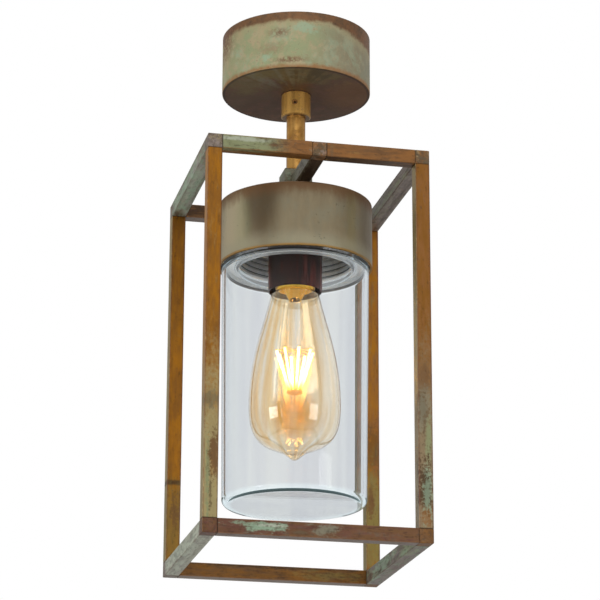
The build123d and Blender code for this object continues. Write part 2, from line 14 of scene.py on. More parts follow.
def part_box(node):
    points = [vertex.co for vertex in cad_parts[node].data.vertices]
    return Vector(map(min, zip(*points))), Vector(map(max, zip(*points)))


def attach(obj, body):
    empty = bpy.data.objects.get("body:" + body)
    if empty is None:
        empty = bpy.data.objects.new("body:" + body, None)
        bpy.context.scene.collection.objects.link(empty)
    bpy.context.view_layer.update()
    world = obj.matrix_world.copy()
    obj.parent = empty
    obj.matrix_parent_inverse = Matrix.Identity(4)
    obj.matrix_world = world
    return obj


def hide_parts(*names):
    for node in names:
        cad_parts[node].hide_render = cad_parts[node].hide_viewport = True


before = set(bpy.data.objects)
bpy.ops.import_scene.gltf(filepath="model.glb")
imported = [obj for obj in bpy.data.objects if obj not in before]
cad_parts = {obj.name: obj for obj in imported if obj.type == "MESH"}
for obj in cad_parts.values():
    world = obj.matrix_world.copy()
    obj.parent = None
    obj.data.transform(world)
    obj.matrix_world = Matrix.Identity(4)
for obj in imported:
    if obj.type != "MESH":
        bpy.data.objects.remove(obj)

bl_info = {
    "name": "Outdoor ceiling light",
    "version": (1, 0, 0),
    "blender": (4, 5, 0),
    "location": "3D View > Sidebar > Ceiling light",
    "description": "Finishes, threaded pieces and studio for a brass ceiling light with a screw-in glass",
    "category": "Object",
}


def linear(red, green, blue):
    """Linear colour of an sRGB colour given as three numbers from 0 to 255."""
    part = np.array((red, green, blue)) / 255
    return tuple(np.where(part > 0.04045, ((part + 0.055) / 1.055) ** 2.4, part / 12.92).tolist())


def colour(name, description, red, green, blue):
    """A colour property whose default is an sRGB colour."""
    return FloatVectorProperty(name=name, description=description, subtype="COLOR", size=3,
                               min=0.0, max=1.0, default=linear(red, green, blue))


def length(name, description, default):
    """A length property in metres."""
    return FloatProperty(name=name, description=description, unit="LENGTH", precision=5,
                         min=0.0, default=default)


class BrassColours(bpy.types.PropertyGroup):
    """Colours of the aged brass and its patina"""
    gold: colour("Gold", "Bare brass, rubbed bright", 218, 166, 88)
    # Honey is also painted light on the front left post's left faces.
    honey: colour("Honey", "Bare brass in its shade", 190, 134, 66)
    old_gold: colour("Old gold", "Brass on the posts", 168, 110, 25)
    dull_gold: colour("Dull gold", "Brass in the shade of the frame", 139, 92, 34)
    ochre: colour("Ochre", "Yellow film on the brass", 162, 118, 46)
    olive: colour("Olive", "Brass under a thin green film", 134, 120, 66)
    # Tan olive is also painted light on the left faces of the other three posts.
    tan_olive: colour("Tan olive", "Pale film at the feet of the posts", 172, 158, 112)
    orange: colour("Orange", "Worn edges and rims", 146, 98, 50)
    brown: colour("Brown", "Tarnished brass", 116, 82, 50)
    red_brown: colour("Red brown", "Tarnish with a copper cast", 110, 72, 58)
    umber: colour("Umber", "Brown film over patina", 104, 88, 66)
    # Dark brown is also painted shade on the downward faces of the stem, the collar and some bars.
    dark_brown: colour("Dark brown", "Heavy tarnish in corners and undersides", 76, 56, 38)
    # Soot is also painted shadow: the line under the rose's rim and the grub screw's socket.
    soot_and_shade: colour("Soot", "Dirt in scratches and joints", 44, 33, 25)
    sage: colour("Sage", "Green patina", 142, 149, 109)
    grey_green: colour("Grey green", "Dry patina", 134, 134, 114)
    mint: colour("Mint", "Fresh patina", 146, 170, 143)
    chalk: colour("Chalk", "Pale crust in the patina", 186, 190, 172)
    tan: colour("Tan", "Pale clouds in the patina", 162, 147, 108)
    mauve: colour("Mauve", "Cool film", 144, 130, 121)
    stone: colour("Stone", "Satin film on the cap", 142, 129, 101)
    drab: colour("Drab", "Brown film low on the front right post", 142, 126, 98)
    rust: colour("Rust", "Band round the top of the rose", 124, 80, 46)
    # Cocoa is partly the rose's tarnish and partly painted shade.
    cocoa: colour("Cocoa", "Underside of the rose", 80, 51, 28)
    crust: colour("Crust", "Dry crust on the rose", 172, 152, 118)
    # Bright gold is partly painted light on the collar.
    bright_gold: colour("Bright gold", "Brass of the collar", 255, 200, 108)
    # Bistre is a painted dark reflection on the cap.
    bistre: colour("Bistre", "Dark streak on the cap", 72, 53, 28)
    # Buff is a painted pale reflection on the cap's left side.
    buff: colour("Buff", "Pale left side of the cap", 186, 172, 140)
    putty: colour("Putty", "Pale foot of the cap", 162, 156, 130)
    # Painted light: the inside of the cap is near white so that it reads pale in its shade.
    painted_light_inside: colour("Whitewash", "Inside of the cap", 244, 239, 233)
    ash: colour("Ash", "Pale dry film on the side bars", 178, 174, 158)


class GlassSizes(bpy.types.PropertyGroup):
    """Sizes of the glass cup, its ring and its seal that the frame's boxes do not give"""
    foot: length("Foot", "Radius of the underside before it is rounded", 0.050)
    foot_radius: length("Foot rounding", "Rounding of the foot outside", 0.0045)
    floor_radius: length("Floor rounding", "Rounding of the floor inside", 0.002)
    wall: length("Wall", "Thickness of the wall", 0.0025)
    floor: length("Floor", "Thickness of the floor", 0.0025)
    shoulder: length("Shoulder", "Thickness of the shoulder", 0.0037)
    shoulder_radius: length("Shoulder rounding", "Rounding of the shoulder outside", 0.0015)
    inside_radius: length("Inside rounding", "Rounding under the shoulder", 0.0025)
    neck: length("Neck", "Radius of the neck over its thread", 0.04275)
    neck_wall: length("Neck wall", "Thickness of the neck", 0.003)
    pitch: length("Pitch", "Rise of the thread in one turn", 0.004)
    depth: length("Thread depth", "Height of the thread", 0.0011)
    clearance: length("Clearance", "Play between neck and ring", 0.0004)
    ring_wall: length("Ring wall", "Thickness of the ring's tube", 0.0025)
    ring_flange: length("Ring flange", "Thickness of the ring's flange", 0.0015)
    seal_width: length("Seal width", "Width of the seal's band", 0.003)


class HolderSizes(bpy.types.PropertyGroup):
    """Sizes of the lamp holder and the bulb's screw cap"""
    mouth_wall: length("Mouth wall", "Thickness of the skirt at its mouth", 0.0012)
    mouth_depth: length("Mouth depth", "Depth of the skirt's mouth", 0.009)
    lip: length("Lip", "Rounding of the skirt's lip", 0.0005)
    sleeve_bore: length("Sleeve bore", "Radius of the sleeve over its thread", 0.0133)
    sleeve_wall: length("Sleeve wall", "Thickness of the sleeve", 0.0007)
    flange_thickness: length("Flange thickness", "Thickness of the sleeve's flange", 0.0008)
    cap: length("Screw cap", "Radius of the screw cap over its thread", 0.013)
    cap_wall: length("Screw cap wall", "Thickness of the screw cap", 0.0005)
    pitch: length("Pitch", "Rise of the thread in one turn", 0.003629)
    depth: length("Thread depth", "Height of the thread", 0.0006)


class FixingSizes(bpy.types.PropertyGroup):
    """Sizes of the nipples and of the slotted screws"""
    nipple_wall: length("Nipple wall", "Thickness of the nipples", 0.00125)
    nipple_pitch: length("Nipple pitch", "Rise of the nipples' thread in one turn", 0.001)
    nipple_depth: length("Nipple thread depth", "Height of the nipples' thread", 0.0005)
    clamp: length("Terminal screw", "Radius of the terminal screws", 0.0015)
    clamp_slot: length("Terminal slot", "Width of the terminal screws' slots", 0.0005)
    clamp_slot_depth: length("Terminal slot depth", "Depth of the terminal screws' slots", 0.0006)
    block_shank: length("Block screw", "Radius of the block screw's shank", 0.0015)
    block_head: length("Block screw head", "Height of the block screw's head", 0.002)
    block_slot: length("Block screw slot", "Width of the block screw's slot", 0.0009)
    block_slot_depth: length("Block screw slot depth", "Depth of the block screw's slot", 0.0011)
    earth_shank: length("Earth screw", "Radius of the earth screw's shank", 0.002)
    earth_head: length("Earth screw head", "Height of the earth screw's head", 0.0026)
    earth_slot: length("Earth screw slot", "Width of the earth screw's slot", 0.0011)
    earth_slot_depth: length("Earth screw slot depth", "Depth of the earth screw's slot", 0.0014)


class StudioSettings(bpy.types.PropertyGroup):
    """Camera, floor, lamps and sky"""
    eye: FloatVectorProperty(name="Eye", description="Place of the camera", subtype="XYZ", unit="LENGTH",
                             precision=5, default=(-0.35507, -1.63845, -0.72607))
    yaw: FloatProperty(name="Yaw", description="Turn of the view to the right of +Y", subtype="ANGLE",
                       default=0.21545)
    pitch: FloatProperty(name="Pitch", description="Upward tilt of the view", subtype="ANGLE",
                         default=0.30582)
    roll: FloatProperty(name="Roll", description="Turn about the line of sight", subtype="ANGLE",
                        default=0.00389)
    lens: FloatProperty(name="Lens", description="Focal length", unit="CAMERA", default=150.198)
    sensor: FloatProperty(name="Sensor", description="Width of the camera's sensor", unit="CAMERA",
                          default=36.0)
    floor: FloatProperty(name="Floor", description="Level of the floor", unit="LENGTH", default=-2.4)
    floor_half: length("Floor half", "Half the width of the floor", 12.0)
    aim: FloatProperty(name="Aim", description="Level that the lamps face", unit="LENGTH", default=-0.2)
    sky: FloatProperty(name="Sky", description="Light from all round on dull surfaces", default=0.5)
    mirror: FloatProperty(name="Mirror", description="Light from all round in polished ones", default=0.45)


class Socket:
    """An output of a node. Sums, differences and products of sockets add Math nodes."""

    def __init__(self, graph, output):
        self.graph = graph
        self.output = output

    def math(self, operation, *terms):
        return self.graph.add("ShaderNodeMath", {"operation": operation}, dict(enumerate(terms)))

    def __add__(self, other):
        return self.math("ADD", self, other)

    def __radd__(self, other):
        return self.math("ADD", other, self)

    def __sub__(self, other):
        return self.math("SUBTRACT", self, other)

    def __rsub__(self, other):
        return self.math("SUBTRACT", other, self)

    def __mul__(self, other):
        return self.math("MULTIPLY", self, other)

    def __rmul__(self, other):
        return self.math("MULTIPLY", other, self)

    def __abs__(self):
        return self.math("ABSOLUTE", self)


class Graph:
    """A node tree that is filled from empty."""

    def __init__(self, tree):
        self.tree = tree
        tree.nodes.clear()

    def add(self, kind, settings=None, inputs=None, output=0):
        """Add a node, set its settings, then give its inputs their values or links."""
        node = self.tree.nodes.new(kind)
        for key, value in (settings or {}).items():
            setattr(node, key, value)
        for key, value in (inputs or {}).items():
            if isinstance(value, Socket):
                self.tree.links.new(value.output, node.inputs[key])
            else:
                node.inputs[key].default_value = value
        return Socket(self, node.outputs[output]) if node.outputs else None


class Finish(Graph):
    """A material in Object coordinates, which are the part's own metres."""

    def __init__(self, name):
        self.material = bpy.data.materials.new(name)
        self.material.use_nodes = True
        super().__init__(self.material.node_tree)
        self.point = self.add("ShaderNodeTexCoord", output="Object")

    def axis(self, letter):
        return self.add("ShaderNodeSeparateXYZ", inputs={0: self.point}, output=letter)

    def facing(self, letter):
        """The surface normal's share along one axis, from -1 to 1."""
        normal = self.add("ShaderNodeNewGeometry", output="Normal")
        return self.add("ShaderNodeSeparateXYZ", inputs={0: normal}, output=letter)

    def noise(self, size, detail=3.0, stretch=(1.0, 1.0, 1.0), shift=0.0):
        """Cloudy noise from 0 to 1 with features about size metres across."""
        scale = tuple(part / size for part in stretch)
        place = self.add("ShaderNodeMapping",
                         inputs={"Vector": self.point, "Location": (shift,) * 3, "Scale": scale})
        return self.add("ShaderNodeTexNoise",
                        inputs={"Vector": place, "Scale": 1.0, "Detail": detail, "Roughness": 0.6})

    def mask(self, value, low, high):
        """0 below low, 1 above high, with a smooth step between."""
        return self.add("ShaderNodeMapRange", {"interpolation_type": "SMOOTHSTEP"},
                        {"Value": value, "From Min": low, "From Max": high})

    def share(self, value, part, soft=0.06):
        """1 on about the given part of a surface, where noise is highest."""
        middle = 0.5 + (0.5 - part) * 0.3
        return self.mask(value, middle - soft, middle + soft)

    def mix(self, first, second, amount):
        """Colour from first to second as amount goes from 0 to 1."""
        ends = [end if isinstance(end, Socket) else (*end, 1.0) for end in (first, second)]
        return self.add("ShaderNodeMix", {"data_type": "RGBA"}, {0: amount, 6: ends[0], 7: ends[1]}, 2)

    def vector(self, operation, *terms, output=0):
        return self.add("ShaderNodeVectorMath", {"operation": operation}, dict(enumerate(terms)), output)

    def spot(self, centre, reach, rough, ragged):
        """1 in a spot round centre with the half sizes in reach, 0 outside it.

        Ragged is how far the noise in rough moves its outline. Below 0 the spot fills where the same
        spot with a raggedness above 0 leaves gaps.
        """
        away = self.vector("DIVIDE", self.vector("SUBTRACT", self.point, centre), reach)
        away = self.vector("LENGTH", away, output="Value")
        return 1.0 - self.mask(away + ragged * (rough - 0.5), 0.4, 1.2)

    def flat(self):
        """The point with its height taken away."""
        return self.vector("MULTIPLY", self.point, (1.0, 1.0, 0.0))

    def outward(self):
        """Distance from the upright axis."""
        return self.vector("LENGTH", self.flat(), output="Value")

    def streaks(self, scale, rise):
        """Noise of the direction from the upright axis, and of rise times the height."""
        level = self.vector("MULTIPLY", self.point, (0.0, 0.0, rise))
        place = self.vector("ADD", self.vector("NORMALIZE", self.flat()), level)
        return self.add("ShaderNodeTexNoise", inputs={"Vector": place, "Scale": scale, "Detail": 3.0})

    def bump(self, height, distance, strength=1.0):
        return self.add("ShaderNodeBump",
                        inputs={"Height": height, "Distance": distance, "Strength": strength})

    def surface(self, inputs):
        """Finish with one Principled shader and return the material."""
        shader = self.add("ShaderNodeBsdfPrincipled", inputs=inputs)
        self.add("ShaderNodeOutputMaterial", inputs={"Surface": shader})
        return self.material

    def clear(self, inputs, tint, density):
        """Finish as glass that lets lamps shine through, tinted by its thickness."""
        shader = self.add("ShaderNodeBsdfPrincipled", inputs=inputs)
        through = self.add("ShaderNodeBsdfTransparent")
        shadow = self.add("ShaderNodeLightPath", output="Is Shadow Ray")
        both = self.add("ShaderNodeMixShader", inputs={0: shadow, 1: shader, 2: through})
        depth = self.add("ShaderNodeVolumeAbsorption", inputs={"Color": (*tint, 1.0), "Density": density})
        self.add("ShaderNodeOutputMaterial", inputs={"Surface": both, "Volume": depth})
        return self.material


class Coats:
    """A colour that is built up from coats laid over each other."""

    def __init__(self, finish, first, second, amount):
        self.finish = finish
        self.colour = finish.mix(first, second, amount)

    def lay(self, coat, amount):
        """Lay a colour on, from not at all to fully as amount goes from 0 to 1."""
        self.colour = self.finish.mix(self.colour, coat, amount)

    def stain(self, rough, rows, ragged=6.0, strength=1.0):
        """Lay a spot for each row of centre, half sizes, colour and amount.

        A row may end with a raggedness of its own. Strength thins all the spots alike.
        """
        for centre, reach, coat, amount, *own in rows:
            spot = self.finish.spot(centre, reach, rough, *(own or [ragged]))
            self.lay(coat, spot * (amount * strength))


def aged_brass(name, metal, tarnish, bloom, soot_and_shade, bloomed, dirty, along=None, shift=0.0, stains=(),
               edge=None, edge_colour=None, under=None, side=None, seams=(), mottled=0.3, metallic=0.62,
               fleck=0.2):
    """Brass brushed along its length, with tarnish, stains, pale bloom, dirty scratches and dark seams.

    Half of the metal is tarnish. Stains are rows as Coats takes them, and fleck is the part of fine noise
    in their outlines. Bloom and soot lie in streaks on the shares bloomed and dirty. Edge is a function
    that gives the mask of the rubbed edges. Under is the colour of faces that look down, partly their
    tarnish and partly painted shade. Side is the colour of faces that look left, painted light on them.
    Seams are pairs of an axis and the distance of a seam from the origin along it. Mottled is the depth
    of the dark mottling.
    """
    finish = Finish(name)
    grain = tuple(0.16 if letter == along else 1.0 for letter in "XYZ")
    broad = tuple(0.4 if letter == along else 1.0 for letter in "XYZ")
    patch = finish.noise(0.009, 3.0, broad, shift)
    brush = finish.noise(0.0024, 4.0, grain, shift + 1.4)
    scratch = finish.noise(0.0015, 3.0, grain, shift + 5.3)
    speck = finish.noise(0.0020, 4.0, shift=shift + 3.1)
    mottle = finish.noise(0.0045, 6.0, broad, shift + 7.7)
    ragged = mottle * (0.8 - fleck) + brush * 0.2 + speck * fleck
    tone = Coats(finish, metal, tarnish, finish.share(patch * 0.5 + brush * 0.5, 0.5, 0.12))
    # Painted light: faces that look left take the side colour, the pale reflection that they catch.
    if side:
        tone.lay(side, finish.mask(finish.facing("X"), -0.4, -0.85) * (0.4 + 0.9 * brush))
    # Faces that look down take the under colour, partly tarnish and partly painted shade.
    if under:
        tone.lay(under, finish.mask(finish.facing("Z"), -0.4, -0.85) * (0.5 + 0.7 * brush))
    tone.stain(ragged, stains)
    tone.lay(soot_and_shade, finish.share(mottle, 0.3, 0.1) * mottled)
    pale = finish.share(brush * 0.35 + speck * 0.25 + (1.0 - mottle) * 0.4, bloomed, 0.07)
    tone.lay(bloom, pale * 0.65)
    tone.lay(soot_and_shade, finish.share(scratch * 0.6 + speck * 0.4, dirty, 0.08) * 0.5)
    if edge:
        tone.lay(edge_colour, edge(finish) * finish.share(ragged, 0.7, 0.1) * 0.65)
    for letter, place in seams:
        gap = 1.0 - finish.mask(abs(abs(finish.axis(letter)) - place), 0.0002, 0.0007)
        tone.lay(soot_and_shade, gap * 0.55)
    return finish.surface({
        "Base Color": tone.colour,
        "Metallic": metallic - 0.4 * pale,
        "Roughness": 0.42 + 0.25 * (brush - 0.4) + 0.18 * pale,
        "Normal": finish.bump(pale * 0.3 + brush * 0.6 + speck * 0.4, 0.00022, 0.6),
    })


def long_edges(first, second, half, width=0.0009):
    """Mask of the four long edges of a square bar.

    First and second are functions for the distances from the bar's middle planes. Both reach half its
    size only along an edge, so the smaller of the two marks it.
    """
    def edge(finish):
        nearest = first(finish)
        nearest = nearest.math("MINIMUM", nearest, second(finish))
        return finish.mask(nearest, half - width, half)
    return edge


def off_middle(letter, middle):
    """Distance from the planes at plus and minus middle along one axis."""
    return lambda finish: abs(abs(finish.axis(letter)) - middle)


def plain_metal(name, tone, worn, roughness, metallic=1.0, size=0.004):
    """Machined or plated metal with faint clouds, scratches and a worn second colour."""
    finish = Finish(name)
    cloud = finish.noise(size, 4.0)
    fine = finish.noise(size * 0.15, 2.0)
    return finish.surface({
        "Base Color": finish.mix(tone, worn, finish.share(cloud * 0.7 + fine * 0.3, 0.4, 0.12)),
        "Metallic": metallic,
        "Roughness": roughness + 0.25 * (cloud - 0.4),
        "Normal": finish.bump(fine, 0.00005, 0.5),
    })


def moulded(name, tone, second, roughness, coat=0.0, size=0.006):
    """Moulded plastic, china or rubber with faint clouds of a second colour."""
    finish = Finish(name)
    cloud = finish.noise(size, 4.0)
    fine = finish.noise(0.0004, 2.0)
    return finish.surface({
        "Base Color": finish.mix(tone, second, finish.share(cloud, 0.45, 0.15)),
        "Roughness": roughness + 0.18 * (cloud - 0.5),
        "Coat Weight": coat,
        "Coat Roughness": 0.08,
        "Normal": finish.bump(fine, 0.00001, 0.3),
    })


def rounded(corners, steps=7):
    """Outline through corners (r, z, radius), each one turned by an arc of its own radius.

    The arc leaves the first side at radius * tan(turn / 2) before the corner and swings about the
    centre that lies one radius to the side of the turn.
    """
    place = np.array([corner[:2] for corner in corners])
    runs = [place[:1]]
    for before, corner, after, size in zip(place, place[1:], place[2:], [c[2] for c in corners[1:]]):
        way_in = (corner - before) / np.linalg.norm(corner - before)
        way_out = (after - corner) / np.linalg.norm(after - corner)
        turn = math.atan2(way_in[0] * way_out[1] - way_in[1] * way_out[0], way_in @ way_out)
        start = corner - way_in * size * math.tan(abs(turn) / 2)
        centre = start + math.copysign(size, turn) * np.array((-way_in[1], way_in[0]))
        swing = np.linspace(0.0, turn, steps if size else 1)
        arm = start - centre
        runs.append(centre + np.column_stack((np.cos(swing) * arm[0] - np.sin(swing) * arm[1],
                                              np.sin(swing) * arm[0] + np.cos(swing) * arm[1])))
    runs.append(place[-1:])
    return np.concatenate(runs)


def filled(outline, spacing, low, high):
    """Outline with more points, spacing apart, on its runs between the levels low and high."""
    along = np.concatenate(([0.0], np.cumsum(np.linalg.norm(np.diff(outline, axis=0), axis=1))))
    extra = np.arange(0.0, along[-1], spacing)
    level = np.interp(extra, along, outline[:, 1])
    every = np.union1d(along, extra[(level > low) & (level < high)])
    return np.column_stack((np.interp(every, along, outline[:, 0]), np.interp(every, along, outline[:, 1])))


def screw(radius, pitch, depth, low, high, fade):
    """Right-handed thread on the wall at radius, between the levels low and high.

    The wall is cut back by depth, apart from a rounded ridge raised to the power 1.5 of a cosine wave
    of z / pitch - turn / 2 pi. The ridge fades out over the length fade at both ends.
    """
    def cut(wide, height, turn):
        wave = (0.5 + 0.5 * np.cos(2 * np.pi * height / pitch - turn)) ** 1.5
        inside = np.clip((height - low) / fade, 0, 1) * np.clip((high - height) / fade, 0, 1)
        return np.where(np.abs(wide - radius) < 1e-6, wide - depth * (1 - wave * inside), wide)
    return cut


def lathe(outline, steps, thread=None, middle=(0.0, 0.0)):
    """Surface of revolution: outline point (r, z) at turn t lies at (r cos t, r sin t, z).

    The outline runs counter-clockwise in the plane of r and z. A point at its start or end with no
    radius becomes a pole, and an outline that comes back to its start is closed into a loop.
    """
    pole_start, pole_end = outline[0, 0] < 1e-9, outline[-1, 0] < 1e-9
    loop = bool(np.allclose(outline[0], outline[-1]))
    core = outline[int(pole_start):len(outline) - int(pole_end or loop)]
    turn = np.linspace(0.0, 2 * np.pi, steps, endpoint=False)
    wide = np.repeat(core[:, :1], steps, axis=1)
    height = np.repeat(core[:, 1:], steps, axis=1)
    if thread:
        wide = thread(wide, height, turn)
    points = np.stack((middle[0] + wide * np.cos(turn), middle[1] + wide * np.sin(turn), height), axis=-1)
    points = points.reshape(-1, 3)
    ring = np.arange(len(points)).reshape(len(core), steps)
    above = np.roll(ring, -1, axis=0) if loop else ring[1:]
    here = ring if loop else ring[:-1]
    faces = np.stack((here, np.roll(here, -1, axis=1), np.roll(above, -1, axis=1), above), axis=-1)
    faces = faces.reshape(-1, 4).tolist()
    for pole, row, level in ((pole_start, ring[0], outline[0, 1]), (pole_end, ring[-1], outline[-1, 1])):
        if pole:
            tip = np.full(steps, len(points))
            sides = (np.roll(row, -1), row) if row[0] == 0 else (row, np.roll(row, -1))
            points = np.concatenate((points, [[*middle, level]]))
            faces += np.column_stack((tip, *sides)).tolist()
    return points, faces


def prism(outline, low, high):
    """Closed prism of an outline (x, y), counter-clockwise from above, between two levels."""
    count = len(outline)
    base = np.column_stack((outline, np.full(count, low)))
    top = np.column_stack((outline, np.full(count, high)))
    here = np.arange(count)
    sides = np.column_stack((here, np.roll(here, -1), np.roll(here, -1) + count, here + count))
    return np.concatenate((base, top)), [here[::-1].tolist(), (here + count).tolist()] + sides.tolist()


def slotted(middle, radius, low, high, slot_width, slot_depth, facing):
    """Screw head with a slot: a disc under two segments of a disc, one each side of the slot.

    The segments end where the circle meets the slot, at the angle whose sine is half the slot's width
    over the radius. Facing is 1 for a slot on top and -1 for one underneath.
    """
    open_angle = math.asin(slot_width / 2 / radius)
    whole = np.linspace(0.0, 2 * np.pi, 40, endpoint=False)
    half = np.linspace(open_angle, np.pi - open_angle, 20)
    levels = (high - slot_depth, high) if facing > 0 else (low, low + slot_depth)
    disc_levels = (low, levels[0]) if facing > 0 else (levels[1], high)

    def arc(angles):
        return np.array(middle) + radius * np.column_stack((np.cos(angles), np.sin(angles)))
    return [prism(arc(whole), *disc_levels), prism(arc(half), *levels), prism(arc(half + np.pi), *levels)]


def piece(name, shells, material, body, slot, *nodes):
    """One object from closed shells, riding on a body in the place of the frame's nodes."""
    starts = np.cumsum([0] + [len(points) for points, faces in shells])
    points = np.concatenate([shell[0] for shell in shells])
    faces = [[corner + start for corner in face]
             for (_, shell_faces), start in zip(shells, starts) for face in shell_faces]
    mesh = bpy.data.meshes.new(name)
    mesh.from_pydata(points.tolist(), [], faces)
    mesh.polygons.foreach_set("use_smooth", np.ones(len(mesh.polygons), dtype=bool))
    mesh.set_sharp_from_angle(angle=math.radians(42))
    mesh.materials.append(material)
    made = bpy.data.objects.new(name, mesh)
    bpy.context.scene.collection.objects.link(made)
    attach(made, body)
    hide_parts(*nodes)
    return made


def dress(material, *nodes):
    """Give frame nodes a finish."""
    for node in nodes:
        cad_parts[node].material_slots[0].material = material


class LIGHT_OT_stage(bpy.types.Operator):
    """Set up camera, floor, lamps and sky"""
    bl_idname = "ceiling_light.stage"
    bl_label = "Stage"

    def execute(self, context):
        studio = context.scene.light_studio
        self.camera(context, studio)
        self.floor(context, studio)
        for name, place, size, power in (
                ("left", (-2.03, -1.08, -0.45), (1.4, 0.8), 22.0),
                ("right", (1.38, -1.84, -0.47), (0.9, 1.1), 14.0),
                ("front", (-0.3, -2.1, 1.6), (2.2, 1.6), 13.0),
                ("top", (0.1, -0.2, 1.9), (1.6, 1.6), 9.0)):
            self.lamp(context, studio, name, place, size, power)
        self.sky(context, studio)
        context.scene.view_settings.view_transform = "Standard"
        return {"FINISHED"}

    def camera(self, context, studio):
        """Look along yaw and pitch: right, up and back are the camera's columns, turned by roll."""
        forward = Vector((math.sin(studio.yaw) * math.cos(studio.pitch),
                          math.cos(studio.yaw) * math.cos(studio.pitch), math.sin(studio.pitch)))
        right = Vector((math.cos(studio.yaw), -math.sin(studio.yaw), 0.0))
        above = right.cross(forward)
        side = right * math.cos(studio.roll) + above * math.sin(studio.roll)
        above = above * math.cos(studio.roll) - right * math.sin(studio.roll)
        data = bpy.data.cameras.new("camera")
        data.sensor_width = studio.sensor
        data.lens = studio.lens
        data.clip_start = 0.05
        eye = bpy.data.objects.new("camera", data)
        turn = Matrix((side, above, -forward)).transposed()
        eye.matrix_world = Matrix.Translation(studio.eye) @ turn.to_4x4()
        context.scene.collection.objects.link(eye)
        context.scene.camera = eye

    def floor(self, context, studio):
        """A square floor, white to the eye and through glass, and pale under the lamps."""
        half = studio.floor_half
        mesh = bpy.data.meshes.new("floor")
        mesh.from_pydata([(-half, -half, studio.floor), (half, -half, studio.floor),
                          (half, half, studio.floor), (-half, half, studio.floor)], [], [(0, 1, 2, 3)])
        finish = Finish("floor")
        cloud = finish.noise(0.6, 3.0)
        tone = finish.mix((0.82, 0.82, 0.82), (0.86, 0.86, 0.86), cloud)
        seen = finish.add("ShaderNodeLightPath", output="Is Camera Ray")
        seen = seen.math("MAXIMUM", seen, finish.add("ShaderNodeLightPath", output="Is Transmission Ray"))
        mesh.materials.append(finish.surface({
            "Base Color": finish.mix(tone, (0.0, 0.0, 0.0), seen),
            "Roughness": 0.9,
            "Specular IOR Level": 0.0,
            "Emission Color": finish.mix((0.0, 0.0, 0.0), (1.0, 1.0, 1.0), seen),
            "Emission Strength": 1.0,
        }))
        floor = bpy.data.objects.new("floor", mesh)
        context.scene.collection.objects.link(floor)

    def lamp(self, context, studio, name, place, size, power):
        """A rectangular soft lamp that faces the middle of the light."""
        data = bpy.data.lights.new(name, "AREA")
        data.shape = "RECTANGLE"
        data.size, data.size_y = size
        data.energy = power
        lamp = bpy.data.objects.new(name, data)
        aim = Vector((0.0, 0.0, studio.aim)) - Vector(place)
        lamp.matrix_world = Matrix.Translation(place) @ aim.to_track_quat("-Z", "Y").to_matrix().to_4x4()
        lamp.visible_camera = False
        context.scene.collection.objects.link(lamp)

    def sky(self, context, studio):
        """White to the eye and through glass, with one level for reflections and one for dull surfaces."""
        world = bpy.data.worlds.new("studio")
        world.use_nodes = True
        context.scene.world = world
        graph = Graph(world.node_tree)
        seen = graph.add("ShaderNodeLightPath", output="Is Camera Ray")
        seen = seen.math("MAXIMUM", seen, graph.add("ShaderNodeLightPath", output="Is Transmission Ray"))
        mirrored = graph.add("ShaderNodeLightPath", output="Is Glossy Ray") * (1.0 - seen)
        level = seen + mirrored * studio.mirror + (1.0 - seen) * (1.0 - mirrored) * studio.sky
        white = graph.add("ShaderNodeBackground", inputs={"Color": (1.0, 1.0, 1.0, 1.0), "Strength": level})
        graph.add("ShaderNodeOutputWorld", inputs={"Surface": white})


